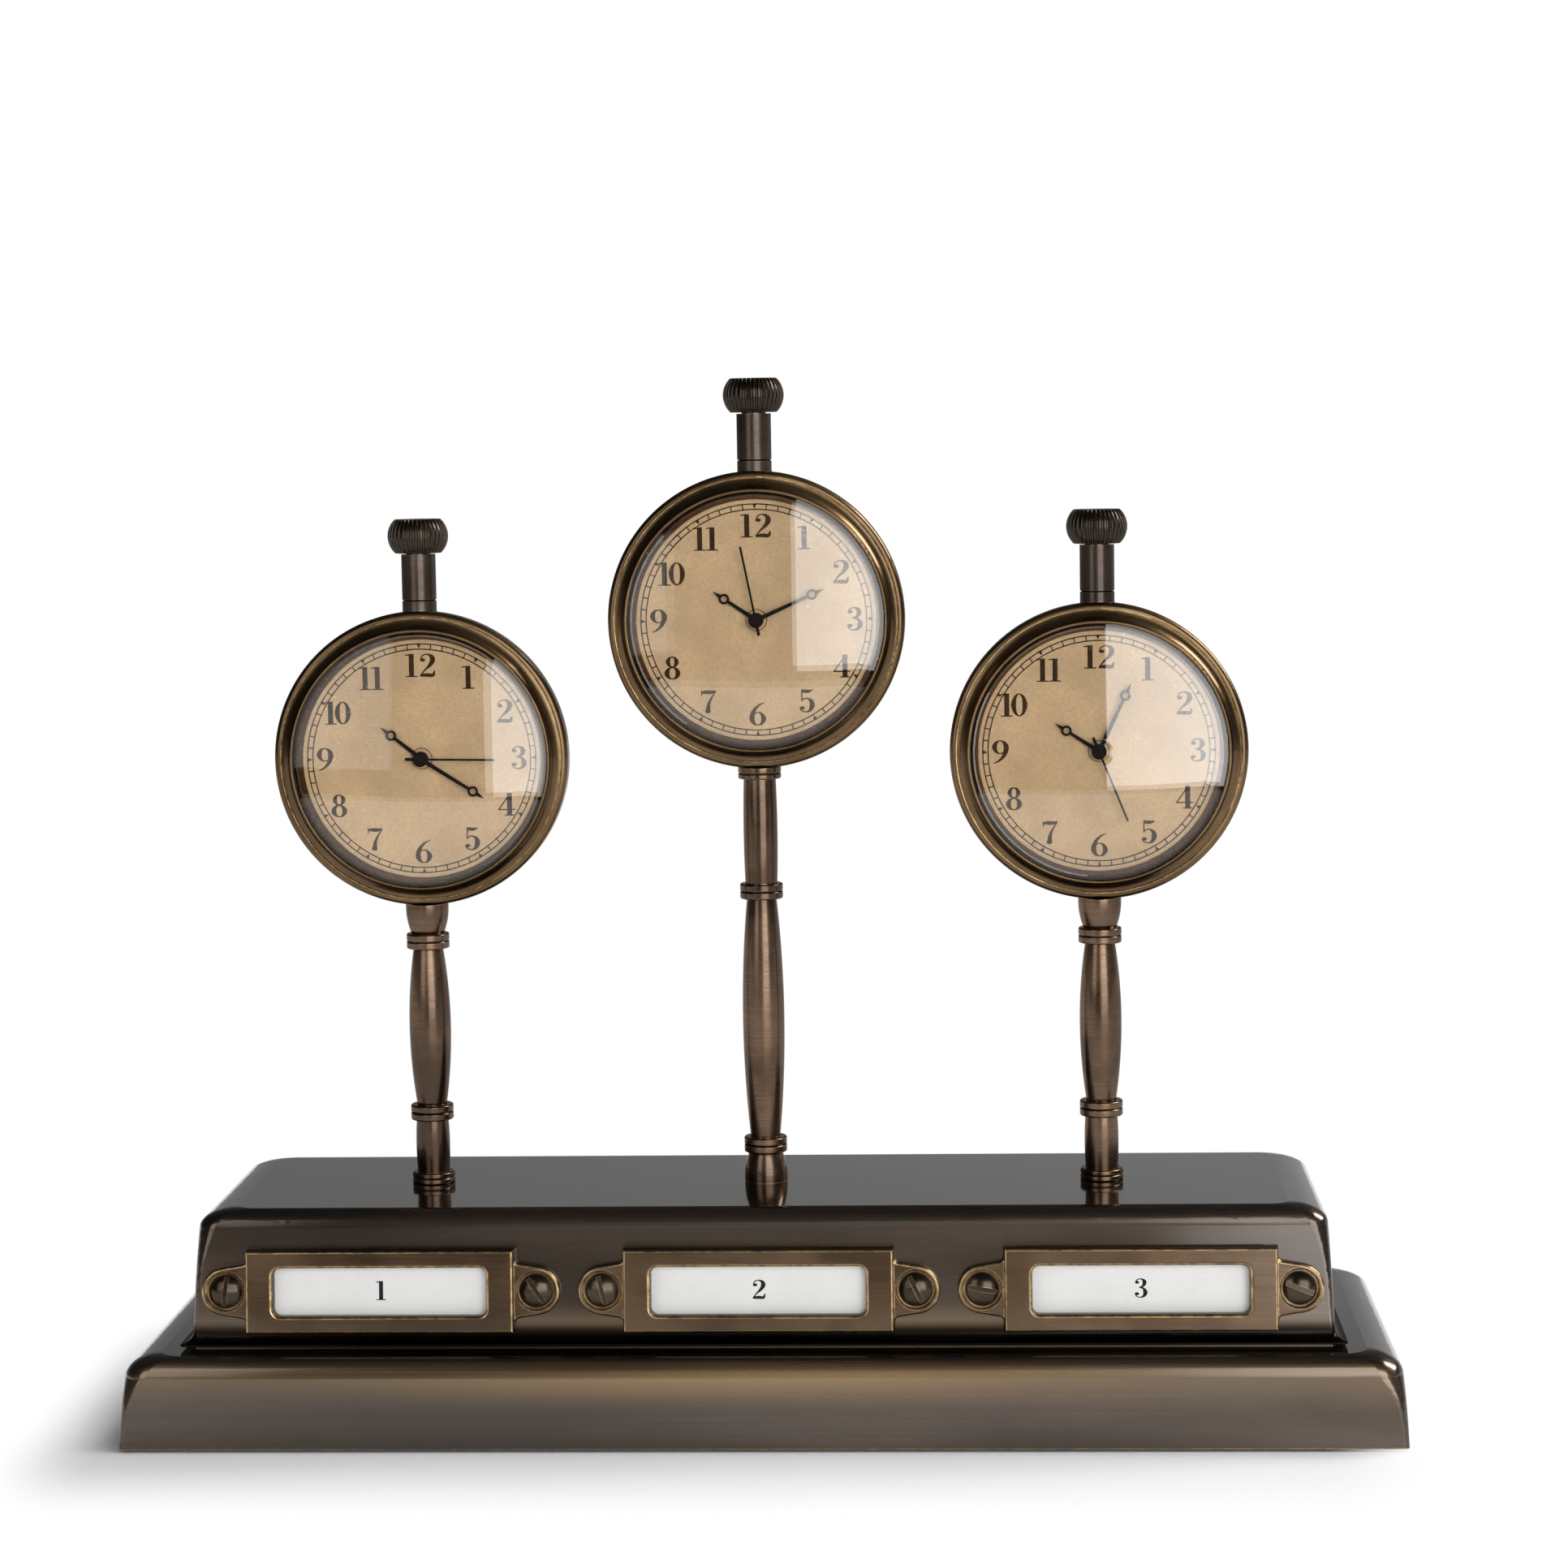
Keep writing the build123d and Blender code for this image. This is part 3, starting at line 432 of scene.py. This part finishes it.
def glass_material():
    """Clear glass with a faint haze of dust."""
    clear = (0.985, 0.99, 0.99)
    dusty = (0.93, 0.93, 0.92)
    made, tree, place = new_material("crystal_glass")
    dust = noise(tree, place, scale=1500, detail=5)
    feeds = {
        "Base Color": blend(tree, fit(tree, dust, 0.62, 0.75), clear, dusty),
        "Roughness": fit(tree, dust, 0.6, 0.8, to_high=0.015),
        "IOR": 1.77,
        "Transmission Weight": 1.0,
        "Normal": dome_normal(tree, place),
    }
    finish_material(tree, feeds)
    return made


def felt_material():
    """Black felt with a short nap."""
    dark = (0.012, 0.012, 0.012)
    light = (0.05, 0.048, 0.046)
    made, tree, place = new_material("felt")
    nap = noise(tree, place, scale=1400, detail=6)
    feeds = {
        "Base Color": blend(tree, fit(tree, nap, 0.35, 0.7), dark, light),
        "Roughness": fit(tree, nap, 0.3, 0.7, to_low=0.85),
        "Sheen Weight": 0.4,
    }
    finish_material(tree, feeds, nap, depth=0.15 * mm)
    return made


materials = {
    "base_bronze": metal(
        "base_bronze",
        dark=(0.052, 0.037, 0.026),
        light=(0.102, 0.074, 0.054),
        worn_and_sheen=(0.42, 0.27, 0.13),
        stretch=(9, 1100, 1500),
        rubbed_and_sheen=base_edges,
        shine=(0.22, 0.30),
        coat=1.0,
        cloud_size=(9, 38, 38),
        # The base's painted golden sheen on the front shoulder and painted shade in the cove
        shade=shade_base,
        brushed="X",
    ),
    "stem_bronze": metal(
        "stem_bronze",
        dark=(0.070, 0.042, 0.026),
        light=(0.186, 0.117, 0.072),
        worn_and_sheen=(0.58, 0.39, 0.20),
        stretch=(60, 60, 2600),
        rubbed_and_sheen=sharp_edges(0.35 * mm),
        shine=(0.20, 0.32),
        grain_depth=0.0008 * mm,
        cloud_size=(70, 70, 50),
    ),
    "watch_bronze": metal(
        "watch_bronze",
        dark=(0.104, 0.062, 0.028),
        light=(0.190, 0.118, 0.055),
        worn_and_sheen=(0.66, 0.45, 0.21),
        stretch=(300, 1500, 300),
        rubbed_and_sheen=sharp_edges(0.4 * mm),
        wear=1.0,
        shine=(0.24, 0.36),
        domed=True,
    ),
    "neck_bronze": metal(
        "neck_bronze",
        dark=(0.052, 0.038, 0.030),
        light=(0.098, 0.074, 0.058),
        worn_and_sheen=(0.22, 0.16, 0.10),
        stretch=(60, 60, 2600),
        rubbed_and_sheen=sharp_edges(0.3 * mm),
        shine=(0.28, 0.42),
    ),
    "crown_bronze": metal(
        "crown_bronze",
        dark=(0.031, 0.022, 0.015),
        light=(0.056, 0.041, 0.029),
        worn_and_sheen=(0.14, 0.098, 0.058),
        stretch=(300, 300, 300),
        rubbed_and_sheen=sharp_edges(0.15 * mm),
        wear=0.5,
        shine=(0.30, 0.44),
        grain_depth=0.0005 * mm,
    ),
    "frame_brass": metal(
        "frame_brass",
        dark=(0.080, 0.050, 0.029),
        light=(0.130, 0.084, 0.050),
        # This tone is also the painted golden highlight on the frame's rounded edges, besides the wear on
        # its sharp edges
        worn_and_sheen=(0.60, 0.41, 0.20),
        stretch=(40, 900, 1800),
        rubbed_and_sheen=rounded_edges,
        wear=1.0,
        shine=(0.22, 0.34),
        grain_depth=0.0008 * mm,
    ),
    "screw_bronze": metal(
        "screw_bronze",
        dark=(0.034, 0.025, 0.016),
        light=(0.074, 0.053, 0.033),
        worn_and_sheen=(0.30, 0.21, 0.11),
        stretch=(500, 500, 500),
        rubbed_and_sheen=sharp_edges(0.25 * mm),
        shine=(0.18, 0.30),
    ),
    "steel": metal(
        "steel",
        dark=(0.38, 0.38, 0.38),
        light=(0.56, 0.56, 0.55),
        worn_and_sheen=(0.75, 0.74, 0.72),
        stretch=(200, 200, 2400),
        rubbed_and_sheen=sharp_edges(0.3 * mm),
        coat=0.0,
        edge_tint=1.0,
    ),
    "cell_steel": metal(
        "cell_steel",
        dark=(0.46, 0.45, 0.43),
        light=(0.62, 0.61, 0.59),
        worn_and_sheen=(0.8, 0.78, 0.75),
        stretch=(900, 300, 900),
        rubbed_and_sheen=sharp_edges(0.2 * mm),
        coat=0.0,
        edge_tint=1.0,
    ),
    "dial_paper": dial_material(),
    "card_white": paper_material("card_white", (0.94, 0.937, 0.918), (0.90, 0.895, 0.876)),
    "print_ink": paper_material("print_ink", (0.036, 0.018, 0.007), (0.066, 0.036, 0.017), gloss=0.0),
    "card_ink": paper_material("card_ink", (0.010, 0.010, 0.011), (0.030, 0.029, 0.029), gloss=0.1),
    "hand_black": lacquer_material(
        "hand_black", (0.006, 0.004, 0.003), (0.016, 0.011, 0.007), shine=(0.3, 0.45), gloss=0.02
    ),
    "movement_plastic": lacquer_material(
        "movement_plastic",
        (0.030, 0.030, 0.032),
        (0.05, 0.05, 0.05),
        shine=(0.45, 0.6),
        gloss=0.2,
        bush=(0.575, 0.390, 0.205),
    ),
    "crystal_glass": glass_material(),
    "felt": felt_material(),
}


def dress_cad():
    """Gives every CAD node the material of its slot, and necks and crowns a darker one."""
    slots = {part["node"]: part["material_slot"] for part in frame["record"]["subparts"]}
    finishes = dict(slots)
    for side in sides:
        finishes[f"{side}_pendant"] = "neck_bronze"
        finishes[f"{side}_crown"] = "crown_bronze"
    for name, node in frame["nodes"].items():
        made = materials[finishes[name]]
        node.data.materials.clear()
        node.data.materials.append(made)
        if slots[name] == "crystal_glass":
            node.visible_shadow = False


# Numerals, drawn as pen strokes with a width at each point, one high and about half wide

def full_turn(across, high, middle, thick, thin):
    """A closed oval stroke, thick at its sides and thin at its top and foot."""
    corners = 8
    points = []
    for step in range(corners + 1):
        turn = math.tau * step / corners
        width = thin + (thick - thin) * math.cos(turn) ** 2
        points.append((across * math.cos(turn), middle + high * math.sin(turn), width))
    return points


def turned_over(strokes):
    """The same strokes turned half a turn, as a 6 turns into a 9."""
    return [[(-x, 1 - y, width) for x, y, width in stroke] for stroke in strokes]


def ball(x, y, size):
    """A round pen dab."""
    end = 0.02
    chord = 0.87 * size
    return [
        (x, y - size / 2, end),
        (x, y - size / 4, chord),
        (x, y, size),
        (x, y + size / 4, chord),
        (x, y + size / 2, end),
    ]


hair = 0.045
six = [
    [(0.22, 0.98, 0.035), (0.07, 0.90, 0.06), (-0.10, 0.70, 0.11), (-0.19, 0.44, 0.15),
     (-0.195, 0.24, 0.155), (-0.12, 0.07, 0.09), (0.0, 0.02, hair), (0.12, 0.07, 0.09),
     (0.195, 0.28, 0.155), (0.13, 0.49, 0.09), (0.02, 0.56, hair), (-0.10, 0.52, hair),
     (-0.17, 0.42, 0.03)],
]
numerals = {
    "0": [full_turn(0.19, 0.475, 0.5, 0.155, hair)],
    "1": [
        [(0.0, 0.0, 0.155), (0.0, 1.0, 0.155)],
        [(-0.20, 0.022, hair), (0.20, 0.022, hair)],
        [(-0.21, 0.945, hair), (-0.05, 0.972, 0.05)],
    ],
    "2": [
        [(-0.225, 0.72, 0.03), (-0.17, 0.90, hair), (-0.01, 0.978, 0.05), (0.15, 0.89, 0.13),
         (0.185, 0.71, 0.165), (0.09, 0.50, 0.12), (-0.10, 0.27, 0.055), (-0.235, 0.05, 0.05)],
        [(-0.245, 0.025, 0.05), (-0.13, 0.07, 0.125), (0.04, 0.075, 0.15), (0.19, 0.07, 0.12),
         (0.255, 0.27, 0.03)],
        ball(-0.15, 0.735, 0.165),
    ],
    "3": [
        [(-0.215, 0.80, 0.03), (-0.14, 0.93, hair), (0.0, 0.978, 0.05), (0.13, 0.90, 0.115),
         (0.155, 0.76, 0.15), (0.09, 0.60, 0.09), (-0.06, 0.535, hair)],
        [(-0.06, 0.535, hair), (0.11, 0.48, 0.09), (0.19, 0.28, 0.16), (0.13, 0.09, 0.11),
         (-0.01, 0.02, 0.05), (-0.16, 0.065, hair), (-0.235, 0.20, 0.03)],
        ball(-0.145, 0.80, 0.155),
        ball(-0.155, 0.20, 0.165),
    ],
    "4": [
        [(0.10, 0.0, 0.155), (0.10, 0.99, 0.155)],
        [(0.13, 0.985, 0.04), (-0.27, 0.27, 0.05)],
        [(-0.29, 0.265, 0.05), (0.28, 0.265, 0.05)],
        [(-0.06, 0.022, hair), (0.26, 0.022, hair)],
    ],
    "5": [
        [(-0.16, 0.47, 0.04), (-0.16, 0.96, 0.04)],
        [(-0.17, 0.93, 0.13), (0.05, 0.91, 0.13), (0.21, 0.97, 0.03)],
        [(-0.17, 0.49, 0.03), (-0.08, 0.59, hair), (0.03, 0.60, 0.055), (0.15, 0.50, 0.12),
         (0.185, 0.31, 0.16), (0.12, 0.09, 0.11), (-0.02, 0.02, 0.05), (-0.16, 0.065, hair),
         (-0.225, 0.18, 0.03)],
        ball(-0.15, 0.185, 0.16),
    ],
    "6": six,
    "7": [
        [(-0.235, 1.0, 0.04), (-0.235, 0.76, 0.035)],
        [(-0.235, 0.89, 0.05), (-0.12, 0.925, 0.13), (0.06, 0.915, 0.14), (0.245, 0.965, 0.05)],
        [(0.24, 0.965, 0.04), (0.10, 0.68, 0.055), (0.0, 0.40, 0.10), (-0.03, 0.10, 0.15)],
        ball(-0.03, 0.085, 0.17),
    ],
    "8": [
        full_turn(0.145, 0.215, 0.76, 0.135, hair),
        full_turn(0.185, 0.25, 0.272, 0.155, hair),
    ],
    "9": turned_over(six),
}


def smooth_stroke(stroke):
    """Points along a smooth line through a stroke's points, with their widths."""
    if len(stroke) == 2:
        return [Vector(point) for point in stroke]
    points = [Vector(point) for point in stroke]
    closed = (points[0] - points[-1]).length < 1e-6
    before = points[-2] if closed else 2 * points[0] - points[1]
    after = points[1] if closed else 2 * points[-1] - points[-2]
    chain = [before, *points, after]
    line = []
    for a, b, c, d in zip(chain, chain[1:], chain[2:], chain[3:]):
        for step in range(stroke_steps):
            t = step / stroke_steps
            slope = (c - a) * t
            bend = (2 * a - 5 * b + 4 * c - d) * t ** 2
            twist = (3 * b - a - 3 * c + d) * t ** 3
            line.append(b + 0.5 * (slope + bend + twist))
    return [*line, points[-1]]


def add_stroke(mesh, stroke, place):
    """One pen stroke as a ribbon of faces, set by a function from the plane to space."""
    line = smooth_stroke(stroke)
    rungs = []
    for index, point in enumerate(line):
        ahead = line[min(index + 1, len(line) - 1)] - line[max(index - 1, 0)]
        aside = Vector((-ahead.y, ahead.x)).normalized() * pen_weight * point.z / 2
        flat = Vector((point.x, point.y))
        rungs.append([mesh.verts.new(place(flat + aside)), mesh.verts.new(place(flat - aside))])
    for first, second in zip(rungs, rungs[1:]):
        mesh.faces.new((first[0], first[1], second[1], second[0]))


def add_number(mesh, number, centre, height):
    """A number of one or two figures about a centre in millimetres, upright."""
    advance = twelve_advance if number == "12" else figure_advance
    for index, figure in enumerate(number):
        shift = (index - (len(number) - 1) / 2) * advance
        for stroke in numerals[figure]:
            add_stroke(
                mesh,
                stroke,
                lambda flat: Vector((
                    centre[0] + height * numeral_spread * (flat.x + shift),
                    centre[1] + height * (flat.y - 0.5),
                    0,
                )),
            )


def add_ring(mesh, radius, width):
    """A thin printed circle."""
    inner = radius - width / 2
    outer = radius + width / 2
    rungs = []
    for step in range(ring_steps):
        turn = math.tau * step / ring_steps
        way = Vector((math.sin(turn), math.cos(turn), 0))
        rungs.append((mesh.verts.new(inner * way), mesh.verts.new(outer * way)))
    for first, second in zip(rungs, rungs[1:] + rungs[:1]):
        mesh.faces.new((first[0], first[1], second[1], second[0]))


def add_minute_marks(mesh):
    """A tick for each minute and an inward wedge for every fifth."""
    for minute in range(60):
        turn = math.tau * minute / 60
        out = Vector((math.sin(turn), math.cos(turn), 0))
        along = Vector((out.y, -out.x, 0))
        if minute % 5:
            half = along * track_line / 2
            corners = [out * track_inner - half, out * track_inner + half,
                       out * track_outer + half, out * track_outer - half]
        else:
            half = along * wedge_width / 2
            corners = [out * (track_inner + wedge_gap), out * track_outer + half, out * track_outer - half]
        mesh.faces.new([mesh.verts.new(corner) for corner in corners])


def printed_piece(name, draw, place, body, ink):
    """A thin printed piece: a drawing in millimetres on a plane, a hair thick."""
    mesh = bmesh.new()
    draw(mesh)
    for face in mesh.faces:
        if face.normal.z < 0:
            face.normal_flip()
    mesh.transform(place @ Matrix.Scale(mm, 4))
    piece = new_object(name, mesh)
    thick = piece.modifiers.new("print_thickness", "SOLIDIFY")
    thick.thickness = print_thickness * mm
    thick.offset = 1.0
    piece.data.materials.append(materials[ink])
    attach(piece, body)


def print_dial(side):
    """The minute track and the numerals on one dial."""
    turn_centre = Vector(joint_record(f"{side}_minute_turn")["pos_m"])
    dial_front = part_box(f"{side}_dial")[0][1]
    place = upright(
        Vector((turn_centre.x, dial_front, turn_centre.z)),
        Vector((0, -1, 0)),
        Vector((0, 0, 1)),
    )

    def draw(mesh):
        add_ring(mesh, track_outer, track_line)
        add_ring(mesh, track_inner, track_line)
        add_minute_marks(mesh)
        for hour in range(1, 13):
            turn = math.tau * hour / 12
            centre = (numeral_reach[0] * math.sin(turn), numeral_reach[1] * math.cos(turn))
            add_number(mesh, str(hour), centre, numeral_height)

    printed_piece(f"{side}_dial_print", draw, place, "stand", "print_ink")


def print_card(side, number):
    """A plain number on one label card, at the middle of its window."""
    up = Vector(joint_record(f"{side}_card_lift")["axis"])
    normal = Vector((0, -up.z, up.y))
    card = frame["nodes"][f"{side}_label_card"]
    card_front = max(normal.dot(corner.co) for corner in card.data.vertices)
    middle = box_centre(f"{side}_label_card")
    level = box_centre(f"{side}_label_frame").z
    on_card = middle + up * (level - middle.z) / up.z
    on_card += normal * (card_front - normal.dot(on_card))
    printed_piece(
        f"{side}_card_print",
        lambda mesh: add_number(mesh, number, (0, 0), card_numeral_height),
        upright(on_card, normal, up),
        f"{side}_card",
        "card_ink",
    )


# Studio

def sheet(name, width, height, place):
    """A flat sheet of the studio, with a few divisions."""
    mesh = bmesh.new()
    bmesh.ops.create_grid(mesh, x_segments=8, y_segments=8, size=0.5)
    mesh.transform(place @ Matrix.Diagonal((width, height, 1, 1)))
    piece = new_object(name, mesh)
    return piece


def sees_background(tree):
    """1 for rays from the camera, from metal and through glass, which see the plain background."""
    path = add(tree, "ShaderNodeLightPath").outputs
    seen = math_node(tree, "MAXIMUM", path["Is Camera Ray"], path["Is Glossy Ray"])
    return math_node(tree, "MAXIMUM", seen, path["Is Transmission Ray"])


def in_metal(tree):
    """1 where satin metal mirrors the studio, 0 where clear glass does."""
    singular = add(tree, "ShaderNodeLightPath").outputs["Is Singular Ray"]
    return math_node(tree, "SUBTRACT", 1.0, singular)


def white_glow(tree, strength):
    """A plain white glow."""
    glow = add(tree, "ShaderNodeEmission", {"Color": (1, 1, 1, 1), "Strength": strength})
    return glow.outputs["Emission"]


def glow_in_mirrors(piece, made, tree, strength):
    """Gives a piece of the studio a white glow that only metal and glass see."""
    add(tree, "ShaderNodeOutputMaterial", {"Surface": white_glow(tree, strength)})
    piece.data.materials.append(made)
    piece.visible_camera = False
    piece.visible_diffuse = False
    piece.visible_shadow = False


def add_floor():
    """A white table that keeps the shadow round the base and is plain white away from it."""
    middle = Matrix.Translation((0, (table_back + table_front) / 2, -table_gap))
    floor = sheet("floor", table_width, table_back - table_front, middle)
    made, tree, place = new_material("floor")
    tone = blend(tree, noise(tree, place, scale=300), (0.93, 0.93, 0.93), (0.96, 0.96, 0.96))
    matt = add(tree, "ShaderNodeBsdfDiffuse", {"Color": tone}).outputs["BSDF"]
    straight = add(tree, "ShaderNodeLightPath").outputs["Is Camera Ray"]
    in_full = math_node(tree, "MAXIMUM", straight, in_metal(tree))
    white = white_glow(tree, fit(tree, in_full, 0, 1, to_low=table_in_glass))
    low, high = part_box("lower_plinth")
    high = (high[0] - shadow_inset, high[1], high[2])
    nearest = vector_node(tree, "MINIMUM", vector_node(tree, "MAXIMUM", place, low), high)
    off = vector_node(tree, "SUBTRACT", place, nearest)
    away = length(tree, vector_node(tree, "MULTIPLY", off, (1, shadow_depth, 1)))
    plain = fit(tree, away, shadow_fades, shadow_ends)
    share = math_node(tree, "MULTIPLY", sees_background(tree), plain)
    mixed = add(tree, "ShaderNodeMixShader", {"Fac": share, 1: matt, 2: white})
    add(tree, "ShaderNodeOutputMaterial", {"Surface": mixed.outputs["Shader"]})
    floor.data.materials.append(made)


def add_world():
    """A white background, and a softer level of light from all round."""
    world = bpy.data.worlds.new("studio")
    scene.world = world
    tree = new_tree(world)
    shaders = {"Fac": sees_background(tree)}
    for index, strength in enumerate((world_light, 1.0), start=1):
        feeds = {"Color": (1, 1, 1, 1), "Strength": strength}
        shaders[index] = add(tree, "ShaderNodeBackground", feeds).outputs["Background"]
    mixed = add(tree, "ShaderNodeMixShader", shaders)
    add(tree, "ShaderNodeOutputWorld", {"Surface": mixed.outputs["Shader"]})


def facing(place, target):
    """A matrix at a place whose Z points away from the target, as lamps shine along -Z."""
    return upright(Vector(place), (Vector(place) - Vector(target)).normalized(), Vector((0, 0, 1)))


def straight_ahead(place):
    """The spot on the plane of the watches that lies straight in front of a place."""
    return (place[0], 0, place[2])


def softbox(name, place, target, width, height, brightness, mirrored=False, lights=True):
    """A soft lamp of a given brightness, that metal and glass mirror, that lights the rest, or both."""
    data = bpy.data.lights.new(name, "AREA")
    data.shape = "RECTANGLE"
    data.size = width
    data.size_y = height
    data.energy = brightness * math.pi * width * height
    lamp = bpy.data.objects.new(name, data)
    lamp.matrix_world = facing(place, target)
    lamp.visible_camera = False
    lamp.visible_glossy = mirrored
    lamp.visible_transmission = mirrored
    lamp.visible_diffuse = lights
    scene.collection.objects.link(lamp)


def add_room():
    """The dark room that only metal and glass see: pale low down behind and, for metal, in front."""
    mesh = bmesh.new()
    bmesh.ops.create_uvsphere(mesh, u_segments=48, v_segments=24, radius=room_radius)
    room = new_object("room", mesh)
    made, tree, place = new_material("room")
    way = add(tree, "ShaderNodeVectorMath", {"Vector": place}, operation="NORMALIZE").outputs["Vector"]
    parts = parts_of(tree, way)
    low = fit(tree, parts["Z"], math.sin(backdrop_top), math.sin(backdrop_pale))
    behind = math_node(tree, "MULTIPLY", low, fit(tree, parts["Y"], 0.0, 0.6))
    backdrop = math_node(tree, "MULTIPLY", behind, fit(tree, parts["X"], -0.7, 0.8, *backdrop_light))
    level = span(tree, parts["Z"], low=0.02, high=0.38, soft=0.06)
    before = math_node(tree, "MULTIPLY", level, fit(tree, parts["Y"], -0.3, -0.8))
    window = math_node(tree, "MULTIPLY", before, fit(tree, parts["X"], -0.17, -0.05, *window_light))
    window = math_node(tree, "MULTIPLY", window, in_metal(tree))
    walls = fit(tree, parts["X"], -0.7, 0.8, *wall_light)
    walls = math_node(tree, "MULTIPLY", walls, fit(tree, in_metal(tree), 0, 1, to_low=walls_in_glass))
    brightest = math_node(tree, "MAXIMUM", walls, math_node(tree, "MAXIMUM", backdrop, window))
    glow_in_mirrors(room, made, tree, brightest)


def mirror_card(name, place, width, height, in_glass, in_satin, fade):
    """A bright card that only glass and metal mirror, each at its own inner and outer brightness."""
    card = sheet(name, width, height, facing(place, straight_ahead(place)))
    made, tree, spot = new_material(name)
    across = parts_of(tree, spot)["X"]
    outward = math.copysign(1, place[0])
    inner = place[0] - outward * width / 2
    glass = fit(tree, across, inner, inner + outward * 0.8 * width, *in_glass)
    satin = fit(tree, across, inner + outward * 0.2 * fade, inner + outward * fade, *in_satin)
    brightest = math_node(tree, "MAXIMUM", glass, math_node(tree, "MULTIPLY", in_metal(tree), satin))
    glow_in_mirrors(card, made, tree, brightest)


def add_studio():
    """The lamps, the room, the table and the background."""
    softbox("key", key_place, straight_ahead(key_place), *key_size, key_light)
    mirror_card("key_card", key_card_place, *key_card_size, key_in_glass, key_in_satin, key_card_fade)
    softbox("fill", fill_place, straight_ahead(fill_place), *fill_size, fill_light)
    mirror_card("fill_card", fill_place, *fill_size, fill_in_glass, fill_in_satin, fill_card_fade)
    softbox("rim", rim_place, lamp_target, *rim_size, rim_light, mirrored=True, lights=False)
    softbox("overhead", overhead_place, lamp_target, *overhead_size, overhead_light)
    add_room()
    add_floor()
    add_world()


add_camera()
dress_cad()
for side, number in zip(sides, "123"):
    print_dial(side)
    print_card(side, number)
add_studio()
